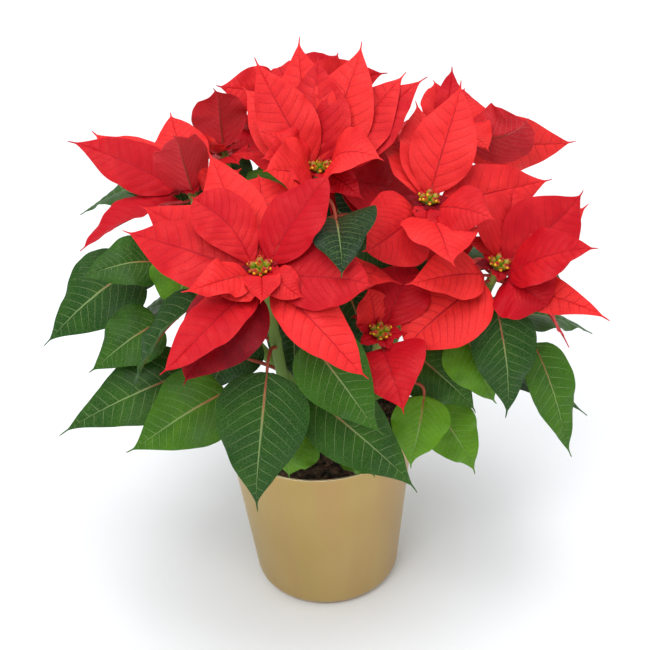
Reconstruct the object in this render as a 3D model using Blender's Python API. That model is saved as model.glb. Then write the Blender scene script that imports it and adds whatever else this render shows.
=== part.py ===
"""A potted poinsettia: a plant with nine flower heads in a tapered, thin-walled pot filled with soil.

The origin is the middle of the pot's foot, +Z is up and -Y is the front. The tables are in millimetres
and degrees, and MM turns them into metres. Where a leaf or a flower head shows in the reference picture,
its place is given by the pixel where its tip or its middle shows, with its real length or distance back.
"""

import math
import random
from functools import lru_cache
from string import ascii_lowercase

import bmesh
import bpy
import numpy as np
from mathutils import Matrix, Vector
from mathutils.bvhtree import BVHTree

MM = 0.001
TOUCH_GAP = 0.3
# A direction that no stem or cup runs along.
ASKEW = np.array([0.31, 0.95, 0.07])

# The pot: a spun thin wall with a rounded foot.
POT_HEIGHT = 140.0
POT_RIM_RADIUS = 72.0
POT_FOOT_RADIUS = 55.5
POT_FOOT_ROUNDING = 10.0
POT_WALL = 1.8
POT_FLOOR = 2.4
POT_INSIDE_SHIFT = 0.2
POT_LIP_FLAT = 0.6
POT_LIP_DROP = 0.45
POT_SEGMENTS = 36

# The soil fills the pot to a little under its rim.
SOIL_TOP = 127.0
SOIL_SWELL = 1.0
SOIL_RINGS = (0.78, 0.55, 0.32)
SOIL_LUMP = 1.6
SOIL_SEGMENTS = 24
SOIL_GAP = 0.35
SOIL_SEED = 3

# The woody foot of the plant, from which all the side stems leave.
TRUNK_RADIUS = 7.0
TRUNK_FOOT = 92.0
TRUNK_TOP = 181.0
TRUNK_SIDES = 10
TRUNK_SPANS = 4

# The side stems leave the trunk sideways, bend up, and lean out more the farther out their heads stand.
STEM_FOOT_RADIUS = 4.8
STEM_END_RADIUS = 3.8
STEM_SIDES = 7
STEM_SPANS = 7
STEM_OFF_TRUNK = 0.35
STEM_PULL = 0.4
STEM_START_RISE = 0.35
TILT_PER_MM = 0.16

# The hub is the last stretch of a stem, from which the bracts grow on short stalks.
HUB_LENGTH = 14.0
HUB_RADIUS = 3.6
HUB_TOP_BARE = 2.4
BRACT_STALK = 10.0
SMALL_STALK_SHARE = 0.6
BRACT_STALK_SLOPES = (0.15, 0.5)

# The cyathia: small cups on a disc, one in the middle and a ring round it.
CYATHIA_DISC_RADIUS = 4.6
CYATHIA_DISC_HEIGHT = 2.2
CYATHIA_DISC_TAPER = 1.2
CYATHIA_COUNT = 5
CYATHIA_SEED = 5
CUP_FOOT = 0.8
CUP_RING_RADIUS = 3.4
CUP_RADIUS = 2.4
CUP_LENGTHS = (5.2, 6.6)
CUP_LEANS = (0.45, 0.8)
# The plain cone that blades keep clear of in place of the cups.
CYATHIA_HEIGHT = 7.0
CYATHIA_RADII = (4.8, 8.6)
CYATHIA_SIDES = 8

# The blades: how they widen and narrow, the long thin point, which bends aside, and the waves of the edge.
BRACT_FORM = (0.85, 1.3)
LEAF_FORM = (0.5, 1.35)
LEAF_SHAPE = dict(arch=8.0, fold=16.0, cup=-22.0, ripple=1.8, form=LEAF_FORM)
BODY_END = 0.94
POINT_HALF_WIDTH = 1.9
HOOK = 3.5
FOLD_EASE = 0.35
WAVES = 2.6
WAVE_SHIFT = 1.7
BRACT_THICKNESS = 0.8
LEAF_THICKNESS = 0.8
STALK_HALF_WIDTH = 1.1
STALK_THICKNESS = 2.0
STALK_PULL = 0.45
LEAF_STALK_RISE = 0.5
LEAF_FACE_OUT = 0.7
LEAF_SPAN_OF_STEM = (0.15, 0.94)
SMALL_WIDTH = 27.0
MEDIUM_WIDTH = 47.0
# The rows of points of a blade, as (share of its length, points across).
LAMINA_ROWS = {
    "large": ((0.1, 3), (0.32, 5), (0.6, 5), (0.86, 3), (1.0, 1)),
    "medium": ((0.14, 3), (0.38, 5), (0.76, 3), (1.0, 1)),
    "small": ((0.25, 3), (0.6, 3), (1.0, 1)),
}

# Where the picture is seen from: the sight lines that its pixels stand for.
VIEW_RISE = math.radians(33.0)
VIEW_ROLL = math.radians(-3.1)
VIEW_DISTANCE = 1100.0
VIEW_PIXELS_PER_MM = 1.36
VIEW_AIM = np.array([7.7, 0.0, 228.0])
VIEW_BACK = np.array([0.0, -math.cos(VIEW_RISE), math.sin(VIEW_RISE)])
EYE = VIEW_AIM + VIEW_BACK * VIEW_DISTANCE
PICTURE_MIDDLE = 325.0

UP = (0.0, 0.0, 1.0)
FRONT_UP = (0.0, -0.7, 1.0)
FRONT = (0.0, -1.0, 0.5)
NEAR = -1
FAR = 1


# The flower heads: the pixel where the middle shows, its depth behind the pot's middle, the height at
# which its stem leaves the trunk, and its bracts from the innermost to the outermost. Each bract has the
# pixel where its tip shows, how far the tip is from the head's middle, on which side, near or far, and its
# width. Where a bract is seen from below, its face looks away.
HEADS = {
    "head_1": dict(pixel=(261, 270), depth=-95, leaves_trunk_at=158, bracts=[
        dict(tip=(220, 298), reach=36, side=NEAR, width=30, form=(0.9, 0.75)),
        dict(tip=(260, 304), reach=30, side=NEAR, width=24, form=(0.8, 1.0)),
        dict(tip=(305, 297), reach=36, side=NEAR, width=24, form=(0.8, 1.0)),
        dict(tip=(180, 292), reach=64, side=NEAR, width=28, ripple=3.0),
        dict(tip=(331, 172), reach=84, side=FAR, width=42, face=(-0.3, -1, 0.6), form=(0.6, 0.85)),
        dict(tip=(258, 174), reach=90, side=FAR, width=42, face=(0.1, -1, 0.7), arch=8, form=(0.9, 0.6)),
        dict(tip=(374, 287), reach=76, side=NEAR, width=46, face=(0, -0.8, 1), arch=4, form=(0.55, 0.7)),
        dict(tip=(296, 254), reach=38, side=FAR, width=28, face=(0, -1, 0.8)),
        dict(tip=(190, 196), reach=70, side=FAR, width=38, face=(0.3, -1, 0.6), sweep=6, form=(0.95, 0.6)),
        dict(tip=(121, 230), reach=102, side=FAR, width=50),
        dict(tip=(370, 380), reach=104, side=NEAR, width=40, face=(0.3, -1, 0.6), form=(0.7, 1.0)),
        dict(tip=(158, 376), reach=104, side=NEAR, width=34, face=(-0.3, -0.8, 0.8), form=(0.6, 0.85)),
        dict(tip=(137, 205), reach=102, side=FAR, width=50),
        dict(tip=(207, 149), reach=108, side=FAR, width=44, face=FRONT),
        dict(tip=(403, 285), reach=103, side=FAR, width=52, face=(0.1, -0.8, 1), sweep=-4),
        dict(tip=(183, 387), reach=94, side=NEAR, width=52, face=(-0.1, -1, 0.6), form=(0.6, 0.9)),
    ]),
    "head_2": dict(pixel=(320, 170), depth=5, leaves_trunk_at=None, bracts=[
        dict(tip=(365, 200), reach=44, side=NEAR, width=22),
        dict(tip=(262, 128), reach=54, side=NEAR, width=36, ripple=3.2),
        dict(tip=(384, 158), reach=60, side=NEAR, width=50, arch=14, face=(0.1, -0.8, 1)),
        dict(tip=(259, 163), reach=52, side=NEAR, width=44, face=(0, -1, 0.8)),
        dict(tip=(319, 53), reach=82, side=FAR, width=50, face=(0, -1, 0.6)),
        dict(tip=(254, 56), reach=94, side=FAR, width=42, face=(0.3, -1, 0.5)),
        dict(tip=(362, 40), reach=98, side=FAR, width=50, face=(-0.1, -1, 0.5)),
        dict(tip=(300, 35), reach=100, side=FAR, width=48, face=FRONT),
        dict(tip=(241, 86), reach=88, side=FAR, width=46, face=(0.6, -0.8, 0.5)),
        dict(tip=(407, 71), reach=96, side=FAR, width=46, face=(-0.4, -1, 0.4)),
        dict(tip=(429, 76), reach=104, side=FAR, width=44, face=(-0.3, -1, 0.6)),
        dict(tip=(229, 155), reach=80, side=FAR, width=22),
        dict(tip=(396, 218), reach=84, side=FAR, width=60, face=(0.3, -0.7, 1), form=(0.8, 0.6)),
        dict(tip=(421, 202), reach=90, side=FAR, width=66, face=(0.3, -0.7, 1), form=(0.7, 0.5)),
        dict(tip=(262, 172), reach=64, side=NEAR, width=54),
        dict(tip=(354, 226), reach=76, side=FAR, width=56, face=(0, -0.9, 0.9), form=(0.6, 0.8)),
    ]),
    "head_3": dict(pixel=(428, 202), depth=-15, leaves_trunk_at=172, bracts=[
        dict(tip=(421, 234), reach=27, side=NEAR, width=20, face=(0, -1, 0.6)),
        dict(tip=(497, 217), reach=60, side=NEAR, width=44, face=(0, -0.8, 1), cup=-50),
        dict(tip=(461, 79), reach=92, side=FAR, width=46, face=(-0.2, -1, 0.5)),
        dict(tip=(387, 123), reach=80, side=FAR, width=34, face=(0.5, -1, 0.4)),
        dict(tip=(415, 100), reach=86, side=FAR, width=44, face=(0.2, -1, 0.5)),
        dict(tip=(553, 179), reach=104, side=FAR, width=44, face=(0, -0.9, 0.8)),
        dict(tip=(361, 252), reach=66, side=NEAR, width=56, face=(-0.1, -1, 0.7), form=(0.7, 0.9)),
        dict(tip=(456, 268), reach=70, side=NEAR, width=54, face=(0.1, -0.9, 0.9)),
        dict(tip=(402, 268), reach=62, side=FAR, width=54, face=(-0.1, -1, 0.8), form=(0.6, 0.8)),
        dict(tip=(408, 230), reach=40, side=FAR, width=40, face=(0, -1, 0.6), form=(0.6, 0.8)),
        dict(tip=(430, 283), reach=66, side=FAR, width=54, face=(0, -1, 0.8)),
    ]),
    "head_4": dict(pixel=(498, 267), depth=-35, leaves_trunk_at=155, bracts=[
        dict(tip=(487, 236), reach=34, side=FAR, width=32, face=(0, -1, 0.6)),
        dict(tip=(502, 185), reach=61, side=FAR, width=54, face=(0, -1, 0.6), fold=22, form=(0.8, 0.9)),
        dict(tip=(598, 243), reach=78, side=NEAR, width=48),
        dict(tip=(584, 189), reach=90, side=FAR, width=58, face=(-0.2, -1, 0.6)),
        dict(tip=(548, 308), reach=48, side=NEAR, width=50, face=(0, -1, 0.5), form=(0.5, 0.55)),
        dict(tip=(404, 285), reach=76, side=NEAR, width=40),
        dict(tip=(589, 203), reach=94, side=FAR, width=34, face=(-0.1, -1, 0.6)),
        dict(tip=(611, 322), reach=90, side=NEAR, width=28, form=(0.7, 1.3)),
        dict(tip=(403, 352), reach=92, side=NEAR, width=60, face=(-0.3, -0.8, 0.8), form=(0.6, 0.75)),
    ]),
    "head_5": dict(pixel=(190, 187), depth=35, leaves_trunk_at=174, bracts=[
        dict(tip=(173, 135), reach=50, side=NEAR, width=50, face=(-0.5, 0.8, 0.3), fold=40, cup=0,
             form=(0.35, 1.1)),
        dict(tip=(170, 112), reach=72, side=FAR, width=42, face=(0.1, -1, 0.5)),
        dict(tip=(66, 141), reach=98, side=FAR, width=40),
        dict(tip=(91, 130), reach=96, side=FAR, width=38),
        dict(tip=(79, 252), reach=94, side=NEAR, width=42, face=(-0.5, -0.1, 1), fold=34, form=(0.6, 1.0)),
        dict(tip=(242, 168), reach=42, side=NEAR, width=34, face=(0, -1, 0.6)),
    ]),
    "head_6": dict(pixel=(292, 88), depth=120, leaves_trunk_at=166, bracts=[
        dict(tip=(262, 96), reach=30, side=NEAR, width=18),
        dict(tip=(279, 67), reach=44, side=FAR, width=32, face=FRONT),
        dict(tip=(216, 81), reach=62, side=NEAR, width=38, face=FRONT),
        dict(tip=(338, 52), reach=58, side=FAR, width=40, face=FRONT),
        dict(tip=(389, 73), reach=80, side=NEAR, width=46, face=FRONT),
    ]),
    "head_7": dict(pixel=(446, 130), depth=90, leaves_trunk_at=150, bracts=[
        dict(tip=(489, 152), reach=46, side=NEAR, width=42, face=(-0.5, 0.6, 0.8)),
        dict(tip=(452, 66), reach=52, side=FAR, width=20, face=FRONT),
        dict(tip=(433, 80), reach=44, side=FAR, width=30, face=FRONT),
        dict(tip=(530, 122), reach=66, side=NEAR, width=50, face=(0.2, 1, 0.2), fold=26, sweep=-9,
             form=(0.9, 0.7)),
        dict(tip=(577, 134), reach=116, side=FAR, width=44, face=(-0.1, -1, 0.7)),
        dict(tip=(465, 88), reach=48, side=FAR, width=54, face=FRONT, form=(0.7, 0.8)),
    ]),
    "head_8": dict(pixel=(380, 334), depth=-72, leaves_trunk_at=147, bracts=[
        dict(tip=(352, 316), reach=24, side=NEAR, width=18),
        dict(tip=(404, 415), reach=66, side=NEAR, width=56, face=(0, -1, 0.4), form=(0.4, 1.2)),
        dict(tip=(420, 262), reach=66, side=FAR, width=44, face=(-0.1, -1, 0.8), form=(1.1, 1.0)),
        dict(tip=(366, 286), reach=40, side=NEAR, width=32, face=(0.2, -1, 0.6), form=(1.1, 1.0)),
    ]),
    "head_9": dict(pixel=(222, 148), depth=95, leaves_trunk_at=152, bracts=[
        dict(tip=(213, 88), reach=60, side=NEAR, width=44, face=(-0.4, 1, 0.2), fold=30, form=(0.7, 1.2)),
        dict(tip=(192, 128), reach=44, side=NEAR, width=30, face=(-0.3, -1, 0.6)),
        dict(tip=(240, 165), reach=34, side=NEAR, width=34, face=(0.2, -0.8, 0.9)),
    ]),
}

# The green leaves that show: the stem that each grows on, the pixels and the depths of the blade's neck and
# tip, and its width. The ones marked first are placed before the bracts, which bend aside for them.
LEAVES = [
    dict(stem=5, neck=(138, 266), tip=(43, 347), depths=(0, -24), width=64, face=(-0.3, -0.8, 1), fold=8),
    dict(stem=5, neck=(156, 262), tip=(74, 281), depths=(-20, -44), width=40, face=(-0.2, -0.8, 1)),
    dict(stem=5, neck=(190, 262), tip=(178, 320), depths=(-35, -50), width=50),
    dict(stem=1, neck=(200, 300), tip=(130, 397), depths=(-86, -92), width=40, fold=34),
    dict(stem=1, neck=(160, 322), tip=(88, 373), depths=(-44, -60), width=46, face=(-0.2, -0.8, 0.9)),
    dict(stem=1, neck=(195, 370), tip=(58, 437), depths=(-60, -78), width=54, face=(-0.2, -0.8, 0.9)),
    dict(stem=1, neck=(226, 392), tip=(125, 453), depths=(-84, -100), width=58, face=(-0.2, -0.8, 0.9)),
    dict(stem=1, neck=(267, 372), tip=(258, 513), depths=(-118, -138), width=62, face=(0, -1, 0.6)),
    dict(stem=8, neck=(310, 395), tip=(418, 494), depths=(-102, -110), width=52, face=(0.1, -0.9, 0.8)),
    dict(stem=2, neck=(308, 340), tip=(390, 432), depths=(-104, -118), width=50, face=(0.2, -1, 0.7)),
    dict(stem=8, neck=(414, 352), tip=(476, 414), depths=(-44, -60), width=50, face=(0, -1, 0.7)),
    dict(stem=3, neck=(462, 330), tip=(497, 404), depths=(-48, -54), width=48, face=(0.1, -1, 0.7)),
    dict(stem=4, neck=(497, 308), tip=(505, 419), depths=(-74, -88), width=48, face=(0.2, -1, 0.5)),
    dict(stem=4, neck=(534, 344), tip=(572, 458), depths=(-36, -44), width=38, face=(0.4, -1, 0.5)),
    dict(stem=4, neck=(434, 405), tip=(475, 475), depths=(-36, -44), width=42, face=(0.1, -1, 0.7)),
    dict(stem=8, neck=(424, 396), tip=(411, 469), depths=(-72, -80), width=42, face=(0.1, -1, 0.6)),
    dict(stem=2, neck=(336, 220), tip=(341, 279), depths=(-52, -118), width=64, face=(0, -0.6, 1), fold=26,
         cup=-10,
         form=(0.35, 1.1), first=True),
    dict(stem=1, neck=(300, 430), tip=(290, 478), depths=(-62, -70), width=46),
    dict(stem=8, neck=(340, 450), tip=(375, 478), depths=(-56, -60), width=30),
    dict(stem=2, neck=(300, 300), tip=(300, 390), depths=(-66, -76), width=56),
    dict(stem=2, neck=(376, 232), tip=(424, 300), depths=(-14, -28), width=56, face=(0, -1, 0.6),
         first=True),
    dict(stem=2, neck=(346, 286), tip=(374, 364), depths=(-34, -50), width=54, face=(0, -1, 0.6),
         first=True),
    dict(stem=5, neck=(204, 212), tip=(126, 193), depths=(66, 70), width=46, face=(0, -1, 0.6)),
    dict(stem=1, neck=(240, 326), tip=(206, 394), depths=(-50, -62), width=50, face=(0, -1, 0.6)),
    dict(stem=9, neck=(212, 162), tip=(246, 212), depths=(66, 56), width=48, face=(0, -1, 0.6)),
    dict(stem=4, neck=(520, 275), tip=(566, 286), depths=(-8, -12), width=44),
]
STALK_LENGTH = 42.0

# The back of the plant, which the picture does not show, follows a rule: leaves and bracts that hang a
# little. The leaves' headings are given for each stem. A head that is not at the front has a bract at each
# heading where it has no long one yet.
BACK_SEED = 7
BACK_LEAVES = {
    5: (150, 178),
    9: (108, 138, 164),
    6: (66, 98, 124),
    7: (30, 60, 82),
    4: (2, 28),
    3: (12, 40),
    2: (84, 130),
}
BACK_LEAF_LOWEST = 0.42
BACK_LEAF_STEP = 0.24
BACK_LEAF_STALK_RISE = 12.0
BACK_LEAF_LENGTHS = (88.0, 108.0)
BACK_LEAF_WIDTHS = (54.0, 66.0)
BACK_LEAF_DROOPS = (-42.0, -22.0)
BACK_LEAF_SWAY = 12.0
BACK_BRACT_HEADINGS = (15.0, 55.0, 95.0, 135.0)
BACK_BRACT_SWAY = 8.0
BACK_BRACT_ROOM = 26.0
BACK_BRACT_LENGTHS = (72.0, 92.0)
BACK_BRACT_WIDTHS = (42.0, 54.0)
BACK_BRACT_DROOPS = (-36.0, -20.0)
BACK_BRACT_ROOTS = (5.0, 11.5)
BACK_BRACT_FACE_OUT = 0.4
LONG_BRACT = 45.0
FRONT_HEADS_DEPTH = -60.0

# How far blades keep from other nodes and from each other, and how far one bends to do so: it slides back,
# swings in the picture, rolls and shortens, or turns about its root where the picture does not show it.
CLEAR_OF_OTHERS = 0.9
CLEAR_OF_OWN = 0.25
SLIDE_UNIT = 6.0
SWING_UNIT = 2.5
ROLL_UNIT = 12.0
LENGTHS = (1.0, 0.88)
SLIDES = (0, 6, -6, 12, -12, 18, -18, 26, -26, 36, -36)
SWINGS = (0, 3, -3, 7, -7)
ROLLS = (0, 14, -14, 28, -28)
ENOUGH_TRIES = 90
TURNS = (0, 5, -5, 10, -10, 16, -16, 24, -24)


class Blade:
    """A bract or a leaf: a stalk from root to neck, then a blade from neck to tip.

    width is across the widest place, face is where the upper side roughly looks, arch is the height of the
    midrib over its chord, fold is how far each half rises from the midrib and cup is how much more it does
    at the edge, both in degrees. ripple is the height of the waves along the edge and sweep bends the
    midrib sideways. form is the pair of powers by which the blade widens from its neck and narrows to
    its tip. stalk_pull is the way a curved stalk leaves the stem; a bract's stalk is straight.
    """

    def __init__(self, root, neck, tip, width, face=UP, arch=6.0, fold=14.0, cup=-16.0, ripple=1.6,
                 sweep=0.0, phase=0.0, stalk_pull=None, rows="large", form=BRACT_FORM,
                 thickness=BRACT_THICKNESS):
        self.root, self.neck, self.tip = (np.array(p, float) for p in (root, neck, tip))
        self.width, self.face, self.arch = width, np.array(face, float), arch
        self.fold, self.cup, self.ripple, self.sweep = fold, cup, ripple, sweep
        self.phase, self.form = phase, form
        self.stalk_pull = None if stalk_pull is None else np.array(stalk_pull, float)
        self.rows, self.thickness = rows, thickness

    def turned(self, rotation):
        """The same blade, swung about its root."""
        other = Blade.__new__(Blade)
        other.__dict__.update(self.__dict__)
        other.neck = self.root + rotation @ (self.neck - self.root)
        other.tip = self.root + rotation @ (self.tip - self.root)
        other.face = rotation @ self.face
        return other

    def slid(self, depth, swing, roll):
        """The same blade in nearly the same place of the picture, but farther back by depth.

        swing turns it in the picture and roll turns it about its own length, both in degrees.
        """
        sight = unit(self.tip - EYE)
        if self.stalk_pull is None:
            target = unit(self.tip + sight * depth - self.root)
            other = self.turned(turn(sight, swing) @ turn_between(unit(self.tip - self.root), target))
            other.tip = other.root + (other.tip - other.root) * (
                np.linalg.norm(self.tip + sight * depth - self.root) / np.linalg.norm(self.tip - self.root))
        else:
            other = self.turned(np.eye(3))
            other.neck = self.neck + sight * depth
            other.tip = other.neck + turn(sight, swing) @ (self.tip - self.neck)
        other.face = turn(unit(other.tip - other.neck), roll) @ other.face
        return other


def unit(v):
    """The vector v at length 1."""
    v = np.asarray(v, float)
    return v / math.sqrt(v @ v)


def crossed(a, b):
    """Cross products of rows, or of two vectors."""
    ax, ay, az = a[..., 0], a[..., 1], a[..., 2]
    bx, by, bz = b[..., 0], b[..., 1], b[..., 2]
    return np.stack([ay * bz - az * by, az * bx - ax * bz, ax * by - ay * bx], axis=-1)


def rows_to_unit(rows):
    """Rows of vectors, each at length 1."""
    return rows / np.sqrt((rows * rows).sum(axis=1))[:, None]


def turn(axis, degrees):
    """The matrix that turns about an axis."""
    return np.array(Matrix.Rotation(math.radians(degrees), 3, Vector(axis)))


def turn_between(a, b):
    """The matrix that turns direction a to direction b."""
    return np.array(Vector(a).rotation_difference(Vector(b)).to_matrix())


def sight_line(px, py):
    """The direction in which the eye sees a pixel of the picture."""
    right = np.array([1.0, 0.0, 0.0])
    above = crossed(VIEW_BACK, right)
    focal = VIEW_PIXELS_PER_MM * VIEW_DISTANCE
    a, b = px - PICTURE_MIDDLE, py - PICTURE_MIDDLE
    across = math.cos(VIEW_ROLL) * a + math.sin(VIEW_ROLL) * b
    down = -math.sin(VIEW_ROLL) * a + math.cos(VIEW_ROLL) * b
    return unit(right * across / focal - above * down / focal - VIEW_BACK)


def seen_at(px, py, depth):
    """The point that shows at a pixel and lies depth behind the middle of the pot."""
    ray = sight_line(px, py)
    return EYE + ray * (depth - EYE[1]) / ray[1]


def reached_at(px, py, start, reach, side):
    """The point that shows at a pixel and lies reach from start, on its near or its far side."""
    ray = sight_line(px, py)
    nearest = EYE + ray * ((start - EYE) @ ray)
    spare = reach**2 - (nearest - start) @ (nearest - start)
    return nearest + ray * side * math.sqrt(max(spare, 0.0))


def direction(heading, rise):
    """Unit vector from a compass heading, 0 along +X and 90 to the back, and a rise over the horizon."""
    h, r = math.radians(heading), math.radians(rise)
    return np.array([math.cos(h) * math.cos(r), math.sin(h) * math.cos(r), math.sin(r)])


def half_widths(blade, t):
    """Half the width at each place t along the blade: a body that ends in a long thin point."""
    widen, narrow = blade.form
    widest = widen / (widen + narrow)
    body = np.clip(t / BODY_END, 0.0, 1.0)
    share = (body / widest)**widen * ((1 - body) / (1 - widest))**narrow
    point = POINT_HALF_WIDTH * np.sqrt(np.clip(1 - t, 0.0, 1.0))
    return np.maximum(share * blade.width / 2, point)


def midrib(blade, t):
    """Points of the midrib and its directions: across to the right, and out of the upper side."""
    chord = blade.tip - blade.neck
    along = unit(chord)
    out = unit(blade.face - (blade.face @ along) * along)
    right = crossed(along, out)
    step = 0.01
    s = np.concatenate([t, t + step, t - step])[:, None]
    inside = np.minimum(np.maximum(s, 0.0), 1.0)
    hook = HOOK * math.sin(3 * blade.phase) * (inside**8 - inside)
    points = (blade.neck + chord * s + out * (blade.arch * np.sin(math.pi * inside**0.85))
              + right * (blade.sweep * np.sin(math.pi * s) + hook))
    count = len(t)
    forward = rows_to_unit(points[count:2 * count] - points[2 * count:])
    across = rows_to_unit(crossed(forward, np.broadcast_to(out, forward.shape)))
    return points[:count], across, crossed(across, forward)


def blade_points(blade, t, v, margin=0.0):
    """Points of the blade's middle surface at t from neck to tip and v from -1, left edge, to 1."""
    centre, across, out = midrib(blade, t)
    side = np.where(v >= 0, 1, -1)
    reach = np.abs(v) * (half_widths(blade, t) + margin)
    angle = np.radians(blade.fold * (1 - FOLD_EASE * t) + blade.cup * np.abs(v) / 2)
    waves = np.sin(2 * math.pi * WAVES * t + blade.phase + WAVE_SHIFT * (side > 0))
    ripple = blade.ripple * v**2 * waves * np.sin(math.pi * t)
    return (centre + across * (side * reach * np.cos(angle))[:, None]
            + out * (reach * np.sin(angle) + ripple)[:, None])


def stalk_points(blade, count):
    """Middle points of the stalk from its root up to, but without, the neck."""
    s = np.arange(count)[:, None] / count
    if blade.stalk_pull is None:
        return blade.root + (blade.neck - blade.root) * s
    pull = STALK_PULL * np.linalg.norm(blade.neck - blade.root)
    before_neck = blade.neck - unit(blade.tip - blade.neck) * pull
    return (blade.root * (1 - s)**3 + 3 * (blade.root + blade.stalk_pull * pull) * s * (1 - s)**2
            + 3 * before_neck * s**2 * (1 - s) + blade.neck * s**3)


def zipped(a, b):
    """Triangles between two rows of vertex numbers, which may differ in length."""
    triangles, i, j = [], 0, 0
    while i < len(a) - 1 or j < len(b) - 1:
        next_a = (i + 1) / (len(a) - 1) if i < len(a) - 1 else 2.0
        next_b = (j + 1) / (len(b) - 1) if j < len(b) - 1 else 2.0
        if next_a <= next_b:
            triangles.append((a[i], a[i + 1], b[j]))
            i += 1
        else:
            triangles.append((a[i], b[j + 1], b[j]))
            j += 1
    return triangles


@lru_cache
def sheet_pattern(stalk_rows, lamina_rows):
    """The triangles of a blade's sheet, from the count of points in each row, and its solid's faces."""
    counts = [2] * stalk_rows + [columns for _, columns in lamina_rows]
    starts = np.cumsum([0] + counts)
    rows = [list(range(a, a + n)) for a, n in zip(starts, counts)]
    sheet = [tri for a, b in zip(rows, rows[1:]) for tri in zipped(a, b)]
    return np.array(sheet), closed_sheet(sheet, int(starts[-1]))


def blade_solid(blade, margin=0.0, with_stalk=True):
    """Vertices and triangles of the blade as a thin closed solid, thicker and wider by margin."""
    lamina_rows = LAMINA_ROWS[blade.rows]
    stalk_rows = (1 if blade.stalk_pull is None else 3) * with_stalk
    if with_stalk or blade.rows != "large":
        stalk_rows += 1
    t = np.concatenate([[0.0]] + [np.full(columns, place) for place, columns in lamina_rows])
    v = np.concatenate([[0.0]] + [np.linspace(-1, 1, n) if n > 1 else np.zeros(1) for _, n in lamina_rows])
    lamina = blade_points(blade, t, v, margin)[1:]
    _, across, _ = midrib(blade, np.zeros(1))
    side = across[0] * (STALK_HALF_WIDTH + margin)
    middles = [blade.neck[None]] if stalk_rows else []
    if with_stalk:
        middles.insert(0, stalk_points(blade, stalk_rows - 1))
    stalk = [p + way * side for group in middles for p in group for way in (-1, 1)]
    points = np.vstack([np.array(stalk).reshape(-1, 3), lamina])
    halves = np.full(len(points), blade.thickness / 2)
    halves[:len(stalk)] = STALK_THICKNESS / 2
    sheet, faces = sheet_pattern(stalk_rows, lamina_rows)
    corners = points[sheet]
    face_normals = crossed(corners[:, 1] - corners[:, 0], corners[:, 2] - corners[:, 0])
    normals = np.zeros_like(points)
    for k in range(3):
        np.add.at(normals, sheet[:, k], face_normals)
    offset = rows_to_unit(normals) * (halves + margin)[:, None]
    return np.vstack([points + offset, points - offset]), faces


def closed_sheet(triangles, count):
    """Faces of a solid whose upper sheet has these triangles and whose lower points follow count later."""
    edges = {(a, b) for tri in triangles for a, b in zip(tri, tri[1:] + tri[:1])}
    faces = list(triangles) + [tuple(i + count for i in reversed(tri)) for tri in triangles]
    for a, b in sorted(edges):
        if (b, a) not in edges:
            faces += [(b, a, a + count), (b, a + count, b + count)]
    return [tuple(int(i) for i in face) for face in faces]


def tube(points, radii, sides, first_normal=None):
    """Vertices and faces of a capped tube along points. first_normal turns the plane of its first ring."""
    points = np.array(points, float)
    count = len(points)
    vertices = []
    right = None
    for k, p in enumerate(points):
        forward = unit(points[min(k + 1, count - 1)] - points[max(k - 1, 0)])
        if k == 0 and first_normal is not None:
            forward = unit(first_normal)
        start = right if right is not None else unit(crossed(forward, ASKEW))
        right = unit(start - (start @ forward) * forward)
        above = crossed(forward, right)
        for n in range(sides):
            a = 2 * math.pi * n / sides
            vertices.append(p + radii[k] * (right * math.cos(a) + above * math.sin(a)))
    faces = [tuple(reversed(range(sides)))]
    for k in range(count - 1):
        for n in range(sides):
            m = (n + 1) % sides
            i, j = k * sides, (k + 1) * sides
            faces.append((i + n, i + m, j + m, j + n))
    faces.append(tuple(range((count - 1) * sides, count * sides)))
    return np.array(vertices), faces


def bud(foot, axis, length, radius, sides=4):
    """A small closed bud: a point, two rings and a point."""
    right = unit(crossed(axis, ASKEW))
    above = crossed(axis, right)
    vertices = [foot]
    for share, wide in ((0.3, 0.85), (0.78, 1.0)):
        for n in range(sides):
            a = 2 * math.pi * n / sides
            vertices.append(foot + axis * length * share
                            + radius * wide * (right * math.cos(a) + above * math.sin(a)))
    vertices.append(foot + axis * length)
    faces = []
    for n in range(sides):
        m = (n + 1) % sides
        faces += [(0, 1 + m, 1 + n), (1 + n, 1 + m, 1 + sides + m), (1 + n, 1 + sides + m, 1 + sides + n),
                  (1 + sides + n, 1 + sides + m, 1 + 2 * sides)]
    return np.array(vertices), faces


def bezier(a, b, c, d, count):
    """Points of a curve from a to d that leaves towards b and arrives from c."""
    s = np.linspace(0, 1, count)[:, None]
    return a * (1 - s)**3 + 3 * b * s * (1 - s)**2 + 3 * c * s**2 * (1 - s) + d * s**3


class Head:
    """Where one flower head is: its middle, its axis and the path of its stem from the trunk."""

    def __init__(self, number, middle, leaves_trunk_at):
        self.number = number
        self.middle = middle
        outward = np.array([middle[0], middle[1], 0.0])
        distance = np.linalg.norm(outward)
        tilt = math.radians(TILT_PER_MM * distance)
        self.outward = outward / distance
        self.axis = unit(np.array(UP) * math.cos(tilt) + self.outward * math.sin(tilt))
        self.stem_end = middle - self.axis * (HUB_LENGTH + TOUCH_GAP)
        if leaves_trunk_at is None:
            start = np.array([0.0, 0.0, TRUNK_TOP + TOUCH_GAP])
            self.stem_start_direction = np.array(UP)
        else:
            start = self.outward * (TRUNK_RADIUS + STEM_OFF_TRUNK) + np.array([0, 0, leaves_trunk_at])
            self.stem_start_direction = self.outward
        pull = STEM_PULL * np.linalg.norm(self.stem_end - start)
        first_pull = start + unit(self.stem_start_direction + np.array(UP) * STEM_START_RISE) * pull
        self.bends = (start, first_pull, self.stem_end - self.axis * pull, self.stem_end)
        self.path = bezier(*self.bends, STEM_SPANS + 1)

    def points_at(self, shares):
        """Points on the stem at shares of its way from the trunk."""
        stations = np.linspace(0, 1, len(self.path))
        return np.stack([np.interp(shares, stations, self.path[:, k]) for k in range(3)], axis=-1)


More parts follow.
